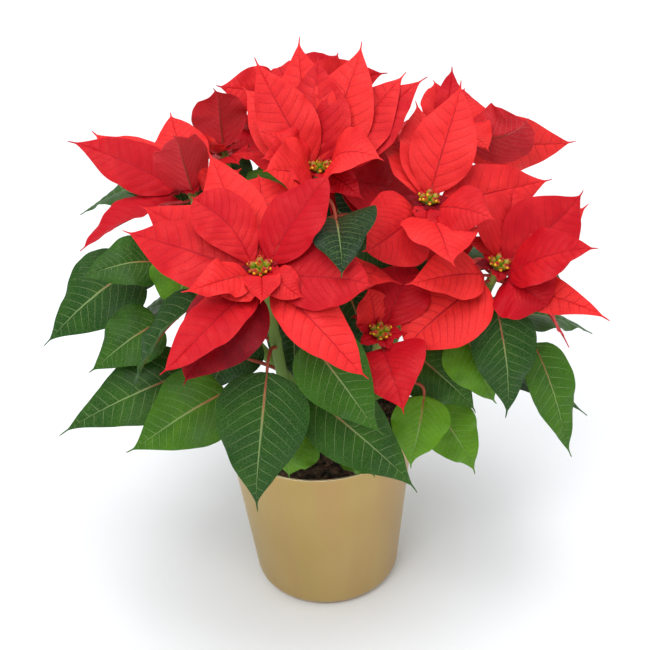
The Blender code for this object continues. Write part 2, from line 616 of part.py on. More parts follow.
def head_blades(head, table):
    """The bracts of one head, innermost first, with their stalks leaving the hub in a rising order."""
    blades = []
    for k, entry in enumerate(table):
        entry = dict(entry)
        tip = reached_at(*entry.pop("tip"), head.middle, entry.pop("reach"), entry.pop("side"))
        depth_on_hub = HUB_TOP_BARE + (HUB_LENGTH - 2 * HUB_TOP_BARE) * k / max(len(table) - 1, 1)
        blades.append(bract_to(head, tip, depth_on_hub, phase=1.3 * k + head.number, **entry))
    return blades


def bract_to(head, tip, depth_on_hub, width, face=FRONT_UP, **shape):
    """A bract whose stalk leaves the hub at depth_on_hub under its top and whose tip is at tip."""
    root = head.middle - head.axis * depth_on_hub
    away = tip - root
    sideways = away - (away @ head.axis) * head.axis
    slope = np.clip((away @ head.axis) / max(np.linalg.norm(sideways), 1.0), *BRACT_STALK_SLOPES)
    leaving = unit(unit(sideways) + slope * head.axis)
    neck = root + leaving * (BRACT_STALK if width > SMALL_WIDTH else SMALL_STALK_SHARE * BRACT_STALK)
    shape = {"rows": rows_for(width), **shape}
    return Blade(root, neck, tip, width, face, **shape)


def rows_for(width):
    """Which rows of points a blade of this width has."""
    return "large" if width > MEDIUM_WIDTH else "medium" if width > SMALL_WIDTH else "small"


def leaf_on(head, neck, tip, width, face=None, **shape):
    """A leaf whose stalk curves from the head's stem, at about STALK_LENGTH, to the blade's neck."""
    places = head.points_at(np.linspace(*LEAF_SPAN_OF_STEM, 40))
    distances = np.linalg.norm(places - neck, axis=1)
    root = places[np.argmin(np.abs(distances - STALK_LENGTH))]
    if face is None:
        face = unit((tip - root) * (1, 1, 0)) * LEAF_FACE_OUT + UP
    pull = unit(unit(neck - root) + np.array(UP) * LEAF_STALK_RISE)
    shape = {"rows": rows_for(width), **LEAF_SHAPE, **shape}
    return Blade(root, neck, tip, width, face, stalk_pull=pull, thickness=LEAF_THICKNESS, **shape)


def back_bracts(head, blades, draw):
    """Drooping bracts that fill the free headings at the back of a head."""
    taken = []
    for blade in blades:
        away = blade.tip - head.middle
        if np.linalg.norm(away) > LONG_BRACT:
            taken.append(math.degrees(math.atan2(away[1], away[0])) % 360)
    added = []
    for heading in BACK_BRACT_HEADINGS:
        heading += draw.uniform(-BACK_BRACT_SWAY, BACK_BRACT_SWAY)
        if all(abs((heading - t + 180) % 360 - 180) > BACK_BRACT_ROOM for t in taken):
            length = draw.uniform(*BACK_BRACT_LENGTHS)
            tip = head.middle + direction(heading, draw.uniform(*BACK_BRACT_DROOPS)) * length
            root = draw.uniform(*BACK_BRACT_ROOTS)
            width = draw.uniform(*BACK_BRACT_WIDTHS)
            face = direction(heading, 0) * BACK_BRACT_FACE_OUT + UP
            added.append(bract_to(head, tip, root, width, face, rows="medium", phase=draw.uniform(0, 6)))
    return added


def back_leaves(heads, draw):
    """Hanging leaves at the back of the plant, as (head number, blade)."""
    leaves = []
    for number, headings in BACK_LEAVES.items():
        head = heads[number - 1]
        for k, heading in enumerate(headings):
            root = head.points_at(BACK_LEAF_LOWEST + BACK_LEAF_STEP * k)
            neck = root + direction(heading, BACK_LEAF_STALK_RISE) * STALK_LENGTH
            length = draw.uniform(*BACK_LEAF_LENGTHS)
            swayed = heading + draw.uniform(-BACK_LEAF_SWAY, BACK_LEAF_SWAY)
            tip = neck + direction(swayed, draw.uniform(*BACK_LEAF_DROOPS)) * length
            leaf = leaf_on(head, neck, tip, draw.uniform(*BACK_LEAF_WIDTHS), rows="medium",
                           phase=draw.uniform(0, 6))
            leaves.append((number, leaf))
    return leaves


class Clearance:
    """What already stands, against which each next blade is tried."""

    def __init__(self):
        self.things, self.lows, self.highs = [], [], []

    def add(self, node, solid, lamina=None):
        vertices, faces = solid
        tree = BVHTree.FromPolygons(vertices.tolist(), faces)
        lamina_tree = BVHTree.FromPolygons(lamina[0].tolist(), lamina[1]) if lamina else None
        self.things.append((node, tree, lamina_tree))
        self.lows.append(vertices.min(0))
        self.highs.append(vertices.max(0))

    def near(self, solid):
        low, high = solid[0].min(0), solid[0].max(0)
        apart = (low > np.array(self.highs)).any(1) | (high < np.array(self.lows)).any(1)
        return [self.things[k] for k in np.nonzero(~apart)[0]]

    def meets_others(self, node, blade):
        """Whether the blade comes too near another node. It may come nearer to its head's stem and cups."""
        wide = blade_solid(blade, CLEAR_OF_OTHERS)
        kin = node.split("_")[-1]
        wide_tree = slim_tree = None
        for other, tree, lamina_tree in self.near(wide):
            if other == node:
                continue
            if other.split("_")[-1] == kin and lamina_tree is None:
                if slim_tree is None:
                    slim = blade_solid(blade, CLEAR_OF_OWN)
                    slim_tree = BVHTree.FromPolygons(slim[0].tolist(), slim[1])
                if slim_tree.overlap(tree):
                    return True
            else:
                if wide_tree is None:
                    wide_tree = BVHTree.FromPolygons(wide[0].tolist(), wide[1])
                if wide_tree.overlap(tree):
                    return True
        return False

    def meets_own(self, node, blade):
        """How many pieces of its own node the flat part of the blade comes too near."""
        lamina = blade_solid(blade, CLEAR_OF_OWN, with_stalk=False)
        tree = BVHTree.FromPolygons(lamina[0].tolist(), lamina[1])
        return sum(1 for other, whole, flat in self.near(lamina)
                   if other == node and tree.overlap(flat or whole))

    def place(self, node, bends, must_stay):
        """The first of a blade's bends that stands clear, or None where none does.

        One that must stay may cross pieces of its own node, into which it then grows.
        """
        crossing = None
        for tried, bent in enumerate(bends):
            if crossing and tried > ENOUGH_TRIES:
                break
            if self.meets_others(node, bent):
                continue
            count = self.meets_own(node, bent)
            if count == 0:
                return self.keep(node, bent)
            if crossing is None or count < crossing[0]:
                crossing = (count, bent)
        if must_stay and crossing:
            return self.keep(node, crossing[1])
        return None

    def keep(self, node, blade):
        self.add(node, blade_solid(blade), blade_solid(blade, with_stalk=False))
        return blade


def bends_in_view(blade):
    """Ever stronger bends of a blade that keep it where the picture shows it."""
    choices = [(depth, swing, roll) for depth in SLIDES for swing in SWINGS for roll in ROLLS]
    choices.sort(key=lambda c: (c[0] / SLIDE_UNIT)**2 + (c[1] / SWING_UNIT)**2 + (c[2] / ROLL_UNIT)**2)
    for length in LENGTHS:
        for depth, swing, roll in choices:
            bent = blade.slid(depth, swing, roll)
            bent.tip = bent.neck + (bent.tip - bent.neck) * length
            yield bent


def bends_about_root(blade, up):
    """Ever stronger bends of a blade about its root."""
    away = unit(blade.tip - blade.root)
    raising = unit(crossed(away, up))
    swinging = unit(crossed(raising, away))
    choices = [(raised, swung) for raised in TURNS for swung in TURNS]
    choices.sort(key=lambda c: c[0]**2 + c[1]**2)
    for raised, swung in choices:
        yield blade.turned(turn(raising, raised) @ turn(swinging, swung))


def lathe(profile, segments):
    """Vertices and faces of a closed turned solid. The profile runs from axis to axis."""
    vertices, rings = [], []
    for radius, z in profile:
        if radius < 1e-6:
            rings.append([len(vertices)])
            vertices.append((0.0, 0.0, z))
            continue
        rings.append(list(range(len(vertices), len(vertices) + segments)))
        for n in range(segments):
            a = 2 * math.pi * n / segments
            vertices.append((radius * math.cos(a), radius * math.sin(a), z))
    faces = []
    for a, b in zip(rings, rings[1:]):
        for n in range(segments):
            m = (n + 1) % segments
            if len(a) == 1:
                faces.append((a[0], b[m], b[n]))
            elif len(b) == 1:
                faces.append((a[n], a[m], b[0]))
            else:
                faces.append((a[n], a[m], b[m], b[n]))
    return np.array(vertices), faces


def arc(centre, radius, start, end, count):
    angles = np.radians(np.linspace(start, end, count))
    return [(centre[0] + radius * math.cos(a), centre[1] + radius * math.sin(a)) for a in angles]


def pot_side_radius(z):
    """Outer radius of the pot's straight side at a height, as if it ran on down to the foot."""
    return POT_FOOT_RADIUS + (POT_RIM_RADIUS - POT_FOOT_RADIUS) * z / POT_HEIGHT


def pot_solid():
    """The pot, and the centre, radius and slope of the rounding inside its foot."""
    slope = math.degrees(math.atan((POT_RIM_RADIUS - POT_FOOT_RADIUS) / POT_HEIGHT))
    inner_rounding = POT_FOOT_ROUNDING - POT_WALL
    outer_centre = (pot_side_radius(POT_FOOT_ROUNDING) - POT_FOOT_ROUNDING, POT_FOOT_ROUNDING)
    inner_centre = (outer_centre[0] - POT_INSIDE_SHIFT, POT_FLOOR + inner_rounding)
    bevel = (1 - POT_LIP_FLAT) * POT_WALL / 2
    inner_rim = POT_RIM_RADIUS - POT_WALL
    profile = [(0, 0)] + arc(outer_centre, POT_FOOT_ROUNDING, -90, -slope, 5)
    profile += [(POT_RIM_RADIUS, POT_HEIGHT - POT_LIP_DROP), (POT_RIM_RADIUS - bevel, POT_HEIGHT),
                (inner_rim + bevel, POT_HEIGHT), (inner_rim, POT_HEIGHT - POT_LIP_DROP)]
    profile += list(reversed(arc(inner_centre, inner_rounding, -90, -slope, 3))) + [(0, POT_FLOOR)]
    return lathe(profile, POT_SEGMENTS), (inner_centre, inner_rounding, slope)


def soil_solid(inner):
    """The soil: the pot's inside up to SOIL_TOP, with a lumpy top and a hole where the trunk stands."""
    centre, rounding, slope = inner
    bottom = arc(centre, rounding - SOIL_GAP, -90, -slope, 3)
    top_radius = pot_side_radius(SOIL_TOP) - POT_WALL - SOIL_GAP
    hole = TRUNK_RADIUS + TOUCH_GAP
    profile = [(0, POT_FLOOR + SOIL_GAP)] + bottom + [(top_radius, SOIL_TOP)]
    profile += [(top_radius * share, SOIL_TOP + SOIL_SWELL) for share in SOIL_RINGS]
    profile += [(hole, SOIL_TOP), (hole, TRUNK_FOOT - TOUCH_GAP), (0, TRUNK_FOOT - TOUCH_GAP)]
    vertices, faces = lathe(profile, SOIL_SEGMENTS)
    draw = random.Random(SOIL_SEED)
    radii = np.linalg.norm(vertices[:, :2], axis=1)
    for k in np.nonzero((vertices[:, 2] > SOIL_TOP + SOIL_SWELL / 2) & (radii > hole + 1))[0]:
        vertices[k, 2] += draw.uniform(-SOIL_LUMP, SOIL_LUMP)
    return vertices, faces


def cup_places(head, draw):
    """Where a head's cups stand, as (foot, axis, length, radius): one in the middle, the rest round it."""
    foot = head.middle + head.axis * (TOUCH_GAP + CUP_FOOT)
    right = unit(crossed(head.axis, ASKEW))
    above = crossed(head.axis, right)
    places = [(foot, head.axis, CUP_LENGTHS[1], CUP_RADIUS)]
    for k in range(CYATHIA_COUNT):
        a = 2 * math.pi * k / CYATHIA_COUNT + draw.uniform(-0.15, 0.15)
        outward = right * math.cos(a) + above * math.sin(a)
        leaning = unit(head.axis + outward * draw.uniform(*CUP_LEANS))
        places.append((foot + outward * CUP_RING_RADIUS, leaning, draw.uniform(*CUP_LENGTHS), CUP_RADIUS))
    return places


def disc_solid(head, sides):
    """The disc on the hub's end that the cups stand on."""
    foot = head.middle + head.axis * TOUCH_GAP
    radii = [CYATHIA_DISC_RADIUS, CYATHIA_DISC_RADIUS - CYATHIA_DISC_TAPER]
    return tube([foot, foot + head.axis * CYATHIA_DISC_HEIGHT], radii, sides)


def cyathia_solids(head, draw):
    """The little cups in the middle of a head, on a small disc that sits on the hub's end."""
    return [disc_solid(head, 6)] + [bud(*place) for place in cup_places(head, draw)]


def material(name, colour, roughness, metallic=0.0):
    """A plain material of one colour."""
    made = bpy.data.materials.new(name)
    made.use_nodes = True
    shader = made.node_tree.nodes["Principled BSDF"]
    shader.inputs["Base Color"].default_value = (*colour, 1.0)
    shader.inputs["Roughness"].default_value = roughness
    shader.inputs["Metallic"].default_value = metallic
    return made


def add_object(name, solid, made_of, collection=None):
    """A mesh object in metres from vertices in millimetres and faces."""
    vertices, faces = solid
    mesh = bpy.data.meshes.new(name)
    mesh.from_pydata((np.asarray(vertices) * MM).tolist(), [], faces)
    mesh.materials.append(made_of)
    made = bpy.data.objects.new(name, mesh)
    (collection or bpy.context.scene.collection).objects.link(made)
    return made


def fused(name, solids, made_of):
    """One object from solids that grow into each other: a Boolean union of them all."""
    made = add_object(name, solids[0], made_of)
    pieces = bpy.data.collections.new(name + "_pieces")
    bpy.context.scene.collection.children.link(pieces)
    for k, solid in enumerate(solids[1:]):
        add_object(f"{name}_piece_{k}", solid, made_of, pieces)
    union = made.modifiers.new("union", "BOOLEAN")
    union.operation = "UNION"
    union.operand_type = "COLLECTION"
    union.collection = pieces
    union.solver = "MANIFOLD"
    bpy.context.view_layer.update()
    joined = bpy.data.meshes.new_from_object(made.evaluated_get(bpy.context.evaluated_depsgraph_get()))
    made.modifiers.clear()
    made.data = joined
    for piece in list(pieces.objects):
        bpy.data.objects.remove(piece)
    bpy.data.collections.remove(pieces)
    edit = bmesh.new()
    edit.from_mesh(joined)
    bmesh.ops.triangulate(edit, faces=edit.faces)
    edit.to_mesh(joined)
    edit.free()
    return made


def stem_solid(head):
    """The head's green stem from the trunk up to the lowest bract."""
    radii = np.linspace(STEM_FOOT_RADIUS, STEM_END_RADIUS, len(head.path))
    return tube(head.path, radii, STEM_SIDES, head.stem_start_direction)


def hub_solid(head):
    """The last stretch of the head's stem, from which its bracts grow."""
    return tube([head.middle - head.axis * HUB_LENGTH, head.middle], [HUB_RADIUS] * 2, STEM_SIDES)


def trunk_solid():
    """The woody foot of the plant, upright in the soil."""
    middles = [(0.0, 0.0, z) for z in np.linspace(TRUNK_FOOT, TRUNK_TOP, TRUNK_SPANS + 1)]
    return tube(middles, [TRUNK_RADIUS] * len(middles), TRUNK_SIDES)


def in_the_way(heads):
    """Plain solids for what the blades keep clear of from the start, as (node, solid)."""
    pot = tube([(0.0, 0.0, 0.0), (0.0, 0.0, POT_HEIGHT)], [POT_FOOT_RADIUS, POT_RIM_RADIUS], POT_SEGMENTS)
    found = [("pot", pot), ("main_stem", trunk_solid())]
    for head in heads:
        low = head.middle + head.axis * TOUCH_GAP
        cups = tube([low, low + head.axis * CYATHIA_HEIGHT], CYATHIA_RADII, CYATHIA_SIDES)
        found += [(f"stem_{head.number}", stem_solid(head)), (f"bracts_{head.number}", hub_solid(head)),
                  (f"cyathia_{head.number}", cups)]
    return found


def grow_plant():
    """The heads, and every blade where it stands, bent clear of the others, as (name, kind, head, blade)."""
    heads = [Head(k + 1, seen_at(*entry["pixel"], entry["depth"]), entry["leaves_trunk_at"])
             for k, entry in enumerate(HEADS.values())]
    standing = Clearance()
    for node, solid in in_the_way(heads):
        standing.add(node, solid)
    blades = []

    def grow(name, kind, head, blade, in_picture):
        bends = bends_in_view(blade) if in_picture else bends_about_root(blade, head.axis)
        placed = standing.place(f"{kind}_{head.number}", bends, in_picture)
        if placed is not None:
            blades.append((name, kind, head, placed))

    def grow_leaves(first):
        for k, entry in enumerate(LEAVES):
            entry = dict(entry)
            if entry.pop("first", False) != first:
                continue
            head = heads[entry.pop("stem") - 1]
            depths = entry.pop("depths")
            neck = seen_at(*entry.pop("neck"), depths[0])
            tip = seen_at(*entry.pop("tip"), depths[1])
            grow(f"leaf {k + 1}", "stem", head, leaf_on(head, neck, tip, phase=1.1 * k, **entry), True)

    grow_leaves(True)
    shown = {}
    for head, entry in zip(heads, HEADS.values()):
        shown[head.number] = head_blades(head, entry["bracts"])
        for letter, blade in zip(ascii_lowercase, shown[head.number]):
            grow(f"{head.number}{letter}", "bracts", head, blade, True)
    grow_leaves(False)
    draw = random.Random(BACK_SEED)
    for head in heads:
        if head.middle[1] < FRONT_HEADS_DEPTH:
            continue
        for blade in back_bracts(head, shown[head.number], draw):
            grow("back bract", "bracts", head, blade, False)
    for number, blade in back_leaves(heads, draw):
        grow("back leaf", "stem", heads[number - 1], blade, False)
    return heads, blades


def build():
    """Makes an object for each node."""
    for made in list(bpy.data.objects):
        bpy.data.objects.remove(made)
    gold = material("satin_gold", (0.42, 0.31, 0.12), 0.38, 0.8)
    earth = material("potting_soil", (0.022, 0.014, 0.01), 0.95)
    wood = material("young_wood", (0.16, 0.15, 0.06), 0.7)
    green = material("leaf_green", (0.03, 0.12, 0.03), 0.5)
    red = material("bract_red", (0.72, 0.012, 0.018), 0.55)
    yellow = material("cyathia_yellow_green", (0.5, 0.5, 0.04), 0.5)
    looks = {"pot": gold, "soil": earth, "main": wood, "stem": green, "bracts": red, "cyathia": yellow}
    heads, blades = grow_plant()
    pot, inner = pot_solid()
    solids = {"pot": [pot], "soil": [soil_solid(inner)], "main_stem": [trunk_solid()]}
    draw = random.Random(CYATHIA_SEED)
    for head in heads:
        solids[f"stem_{head.number}"] = [stem_solid(head)]
        solids[f"bracts_{head.number}"] = [hub_solid(head)]
        solids[f"cyathia_{head.number}"] = cyathia_solids(head, draw)
    for _, kind, head, blade in blades:
        solids[f"{kind}_{head.number}"].append(blade_solid(blade))
    for node, pieces in solids.items():
        made_of = looks[node.split("_")[0]]
        if len(pieces) == 1:
            add_object(node, pieces[0], made_of)
        else:
            fused(node, pieces, made_of)
    for name in ("pot", "soil", "main_stem"):
        made = bpy.data.objects[name].data
        made.shade_smooth()
        made.set_sharp_from_angle(angle=math.radians(40))


build()
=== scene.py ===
"""The looks of a potted poinsettia: red bracts over green leaves, in soil, in a satin gold pot.

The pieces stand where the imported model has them. Tables are in millimetres, and MM turns them into metres.
"""

import math
import random
from functools import lru_cache
from string import ascii_lowercase

import bpy
import numpy as np
from mathutils import Matrix, Vector
from mathutils import noise as mathutils_noise
from mathutils.bvhtree import BVHTree


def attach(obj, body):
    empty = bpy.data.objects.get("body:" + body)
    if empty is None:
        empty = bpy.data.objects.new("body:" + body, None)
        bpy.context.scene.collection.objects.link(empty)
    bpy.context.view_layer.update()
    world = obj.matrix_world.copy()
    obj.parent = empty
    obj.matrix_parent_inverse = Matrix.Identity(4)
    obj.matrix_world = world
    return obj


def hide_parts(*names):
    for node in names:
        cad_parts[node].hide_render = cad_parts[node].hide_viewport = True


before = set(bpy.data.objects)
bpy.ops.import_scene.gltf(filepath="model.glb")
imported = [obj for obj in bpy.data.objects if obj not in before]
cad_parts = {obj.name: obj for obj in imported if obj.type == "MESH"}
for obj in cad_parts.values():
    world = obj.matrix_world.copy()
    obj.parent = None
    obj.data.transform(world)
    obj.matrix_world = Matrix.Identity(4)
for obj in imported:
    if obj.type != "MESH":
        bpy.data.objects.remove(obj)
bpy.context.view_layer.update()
bpy.ops.object.select_all(action="DESELECT")

MM = 0.001


# The studio: a white floor, a white room and three soft lamps.
# The camera looks down at the plant from the front, as the picture does.

VIEW_RISE = math.radians(33.0)
VIEW_ROLL = math.radians(-3.1)
VIEW_DISTANCE = 1100.0
VIEW_PIXELS_PER_MM = 1.36
VIEW_AIM = np.array([7.7, 0.0, 228.0])
VIEW_BACK = np.array([0.0, -math.cos(VIEW_RISE), math.sin(VIEW_RISE)])
EYE = VIEW_AIM + VIEW_BACK * VIEW_DISTANCE
PICTURE_MIDDLE = 325.0
SENSOR = 36.0
FLOOR_SIZE = 12.0
FLOOR_DROP = 0.0005
FLOOR_WHITE = (0.905, 0.93, 0.96, 1.0)
ROOM_WHITE = (1.0, 1.0, 1.0, 1.0)
ROOM_BRIGHTNESS = 0.65
LAMPS_AIM = Vector((0.0, 0.0, 0.25))


def look(position, back, right, above):
    """A matrix that stands at position in metres and looks against back."""
    made = Matrix((right, above, back)).transposed().to_4x4()
    made.translation = Vector(position)
    return made


view_right = np.array([1.0, 0.0, 0.0])
view_above = np.cross(VIEW_BACK, view_right)
rolled_right = view_right * math.cos(VIEW_ROLL) + view_above * math.sin(VIEW_ROLL)
rolled_above = view_above * math.cos(VIEW_ROLL) - view_right * math.sin(VIEW_ROLL)
bpy.ops.object.camera_add()
camera = bpy.context.object
camera.name = "camera"
camera.matrix_world = look(EYE * MM, VIEW_BACK, rolled_right, rolled_above)
camera.data.sensor_width = SENSOR
camera.data.lens = SENSOR * VIEW_PIXELS_PER_MM * VIEW_DISTANCE / (2 * PICTURE_MIDDLE)
bpy.context.scene.camera = camera
bpy.context.scene.view_settings.view_transform = "Standard"

bpy.ops.mesh.primitive_plane_add(size=FLOOR_SIZE, location=(0.0, 0.0, -FLOOR_DROP))
floor = bpy.context.object
floor.name = "floor"
floor_paint = bpy.data.materials.new("floor_white")
floor_paint.use_nodes = True
floor_shader = floor_paint.node_tree.nodes["Principled BSDF"]
floor_shader.inputs["Base Color"].default_value = FLOOR_WHITE
floor_shader.inputs["Roughness"].default_value = 0.9
floor.data.materials.append(floor_paint)

room = bpy.data.worlds.new("white_room")
bpy.context.scene.world = room
room.use_nodes = True
room.node_tree.nodes["Background"].inputs["Color"].default_value = ROOM_WHITE
room.node_tree.nodes["Background"].inputs["Strength"].default_value = ROOM_BRIGHTNESS


def soft_lamp(name, position, size, watts):
    """A square lamp that shines at the plant."""
    data = bpy.data.lights.new(name, "AREA")
    data.shape = "SQUARE"
    data.size = size
    data.energy = watts
    lamp = bpy.data.objects.new(name, data)
    bpy.context.scene.collection.objects.link(lamp)
    lamp.location = position
    lamp.rotation_euler = (LAMPS_AIM - Vector(position)).to_track_quat("-Z", "Y").to_euler()


soft_lamp("key", position=(-0.6, -1.3, 1.9), size=0.9, watts=18.0)
soft_lamp("top", position=(0.05, 0.1, 3.4), size=2.2, watts=62.0)
soft_lamp("side", position=(1.7, -0.6, 1.2), size=1.2, watts=3.0)


# The pot: thin sheet metal, spun to a taper with a rounded foot and a thin rolled rim.
# Its outside and inside carry one coat of satin gold lacquer. Vertical streaks of oranger gold on it are
# painted soft reflections, and a pale band along the rim paints a highlight on the lip over its paler cut
# edge.

POT_HEIGHT = 140.0
POT_RIM_RADIUS = 72.0
POT_FOOT_RADIUS = 55.5
POT_FOOT_ROUNDING = 10.0
POT_WALL = 1.8
POT_FLOOR = 2.4
POT_INSIDE_SHIFT = 0.2
POT_SIDES = 160
POT_SIDE_HEIGHTS = (24.0, 134.0)
POT_SIDE_ROWS = 9
FOOT_ROWS = 14
LIP_ROWS = 11
FLOOR_ROWS = 8
GOLD_SHADES = ((0.45, 0.315, 0.110), (0.50, 0.36, 0.140))
# An oranger gold, laid on in vertical streaks as painted soft reflections.
GOLD_REFLECTION_STREAK = (0.46, 0.285, 0.125)
# A pale gold on the lip of the rim: a painted highlight there, and its paler cut edge.
RIM_HIGHLIGHT_AND_EDGE = (0.80, 0.68, 0.42)
RIM_HIGHLIGHT_HEIGHTS = (139.0, 139.6)


def unit(v):
    """The vector at length 1."""
    v = np.asarray(v, float)
    return v / math.sqrt(v @ v)


def arc(centre, radius, start, end, count):
    """Points along an arc, from angle start to angle end in degrees."""
    angles = np.radians(np.linspace(start, end, count))
    return [(centre[0] + radius * math.cos(a), centre[1] + radius * math.sin(a)) for a in angles]


def pot_side_radius(z):
    """Outer radius of the pot's straight side at a height, as if it ran on down to the foot."""
    return POT_FOOT_RADIUS + (POT_RIM_RADIUS - POT_FOOT_RADIUS) * z / POT_HEIGHT


def new_material(name, roughness, metallic=0.0):
    """A material with a Principled shader, as (material, node tree, shader)."""
    made = bpy.data.materials.new(name)
    made.use_nodes = True
    shader = made.node_tree.nodes["Principled BSDF"]
    shader.inputs["Roughness"].default_value = roughness
    shader.inputs["Metallic"].default_value = metallic
    return made, made.node_tree, shader


def feed(tree, socket, value):
    """Sets a socket to a number or colour, or links another socket to it."""
    if isinstance(value, bpy.types.NodeSocket):
        tree.links.new(value, socket)
    elif isinstance(value, tuple) and len(value) == 3 and socket.type == "RGBA":
        socket.default_value = (*value, 1.0)
    else:
        socket.default_value = value


def calculated(tree, operation, a, b=None, c=None):
    """The output of a Math node."""
    node = tree.nodes.new("ShaderNodeMath")
    node.operation = operation
    for k, value in enumerate((a, b, c)):
        if value is not None:
            feed(tree, node.inputs[k], value)
    return node.outputs[0]


def between(tree, value, low, high, to_low=0.0, to_high=1.0):
    """value carried smoothly from to_low, at low, to to_high, at high."""
    node = tree.nodes.new("ShaderNodeMapRange")
    node.interpolation_type = "SMOOTHSTEP"
    for name, number in (("Value", value), ("From Min", low), ("From Max", high),
                         ("To Min", to_low), ("To Max", to_high)):
        feed(tree, node.inputs[name], number)
    return node.outputs[0]


def mixed(tree, share, a, b):
    """Colour a with share of colour b over it."""
    node = tree.nodes.new("ShaderNodeMix")
    node.data_type = "RGBA"
    feed(tree, node.inputs[0], share)
    feed(tree, node.inputs[6], a)
    feed(tree, node.inputs[7], b)
    return node.outputs[2]


def noise(tree, scale, detail=3.0, stretch=None):
    """A cloudy pattern over the object, from 0 to 1."""
    place = tree.nodes.new("ShaderNodeTexCoord").outputs["Object"]
    if stretch:
        mapping = tree.nodes.new("ShaderNodeMapping")
        mapping.inputs["Scale"].default_value = stretch
        tree.links.new(place, mapping.inputs["Vector"])
        place = mapping.outputs["Vector"]
    node = tree.nodes.new("ShaderNodeTexNoise")
    node.inputs["Scale"].default_value = scale
    node.inputs["Detail"].default_value = detail
    node.inputs["Roughness"].default_value = 0.55
    tree.links.new(place, node.inputs["Vector"])
    return node.outputs[0]


def bumped(tree, shader, height, distance, strength):
    """Feeds the shader's normal from a height, whose full range stands for distance in metres."""
    node = tree.nodes.new("ShaderNodeBump")
    node.inputs["Strength"].default_value = strength
    node.inputs["Distance"].default_value = distance
    tree.links.new(height, node.inputs["Height"])
    tree.links.new(node.outputs["Normal"], shader.inputs["Normal"])


def pot_profile():
    """The pot's wall in section, from the edge of the foot over the rim to the edge of the floor inside."""
    slope = math.degrees(math.atan((POT_RIM_RADIUS - POT_FOOT_RADIUS) / POT_HEIGHT))
    inner_rounding = POT_FOOT_ROUNDING - POT_WALL
    outer_centre = (pot_side_radius(POT_FOOT_ROUNDING) - POT_FOOT_ROUNDING, POT_FOOT_ROUNDING)
    inner_centre = (outer_centre[0] - POT_INSIDE_SHIFT, POT_FLOOR + inner_rounding)
    lip = POT_WALL / 2
    lip_centre = (POT_RIM_RADIUS - lip, POT_HEIGHT - lip)
    heights = np.linspace(*POT_SIDE_HEIGHTS, POT_SIDE_ROWS)
    profile = arc(outer_centre, POT_FOOT_ROUNDING, -90, -slope, FOOT_ROWS)
    profile += [(pot_side_radius(z), z) for z in heights]
    profile += arc(lip_centre, lip, -slope, 180 - slope, LIP_ROWS)
    profile += [(pot_side_radius(z) - POT_WALL, z) for z in reversed(heights)]
    return profile + list(reversed(arc(inner_centre, inner_rounding, -90, -slope, FLOOR_ROWS)))


profile = pot_profile()
bpy.ops.mesh.primitive_circle_add(vertices=POT_SIDES, radius=profile[0][0] * MM, fill_type="NGON",
                                  location=(0.0, 0.0, profile[0][1] * MM))
pot = bpy.context.object
pot.name = "gold_pot"
bpy.ops.object.transform_apply(location=True)
bpy.ops.object.mode_set(mode="EDIT")
bpy.ops.mesh.select_all(action="SELECT")
bpy.ops.mesh.flip_normals()
for (radius, z), (next_radius, next_z) in zip(profile, profile[1:]):
    bpy.ops.mesh.extrude_region_move(TRANSFORM_OT_translate={"value": (0.0, 0.0, (next_z - z) * MM)})
    bpy.ops.transform.resize(value=(next_radius / radius, next_radius / radius, 1.0))
bpy.ops.mesh.select_all(action="SELECT")
bpy.ops.mesh.normals_make_consistent(inside=False)
bpy.ops.object.mode_set(mode="OBJECT")
bpy.ops.object.shade_smooth_by_angle(angle=math.radians(35))

gold, tree, shader = new_material("satin_gold_lacquer", 0.36, 0.82)
# Vertical streaks of the oranger gold paint soft reflections.
reflection_streaks = noise(tree, 24.0, 2.0, (1.0, 1.0, 0.06))
clouds = noise(tree, 9.0, 2.0)
grain = noise(tree, 2600.0, 2.0)
tan = mixed(tree, between(tree, clouds, 0.3, 0.7), *GOLD_SHADES)
tan = mixed(tree, between(tree, reflection_streaks, 0.35, 0.65, 0.0, 0.55), tan, GOLD_REFLECTION_STREAK)
height = tree.nodes.new("ShaderNodeSeparateXYZ")
tree.links.new(tree.nodes.new("ShaderNodeTexCoord").outputs["Object"], height.inputs[0])
# The pale band on the lip paints a highlight there, and shows its paler cut edge.
rim = between(tree, height.outputs["Z"], *(z * MM for z in RIM_HIGHLIGHT_HEIGHTS))
tree.links.new(mixed(tree, rim, tan, RIM_HIGHLIGHT_AND_EDGE), shader.inputs["Base Color"])
tree.links.new(between(tree, grain, 0.3, 0.7, 0.34, 0.44), shader.inputs["Roughness"])
bumped(tree, shader, grain, 0.00003, 0.5)
pot.data.materials.append(gold)
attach(pot, "root")
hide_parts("pot")


# The soil: dark peat mixed with bits of bark, filled in loosely to a little under the rim.
# Crumbs of many sizes lie on it, and the plant's woody foot stands in it.

SOIL_TOP = 127.0
SOIL_GAP = 0.35
SOIL_RINGS = 40
SOIL_SIDES = 120
SOIL_HOLE_DEPTHS = (18.0, 2.0)
SOIL_SIDE_DEPTHS = (3.0, 111.0)
SOIL_SIDE_ROWS = 6
SOIL_ROUGH = 2.2
# Lumps of three sizes, as (how close they stand, layer of the noise, share of the height).
SOIL_LUMPS = ((0.045, 3.1, 0.8), (0.19, 8.7, 0.7), (0.6, 1.3, 0.4))
CRUMBS = 1100
CRUMB_SIZES = (0.7, 0.9, 1.1, 1.4, 1.9, 2.6, 3.4)
CRUMB_SEED = 11
PEAT_SHADES = ((0.006, 0.004, 0.003), (0.15, 0.095, 0.06))
PEAT_FLECKS = (0.24, 0.16, 0.09)
TRUNK_RADIUS = 7.0
TOUCH_GAP = 0.3


def rough_height(x, y):
    """Height of the soil over its mean level at a place, in millimetres."""
    return SOIL_ROUGH * sum(share * mathutils_noise.noise((x * grain, y * grain, layer))
                            for grain, layer, share in SOIL_LUMPS)


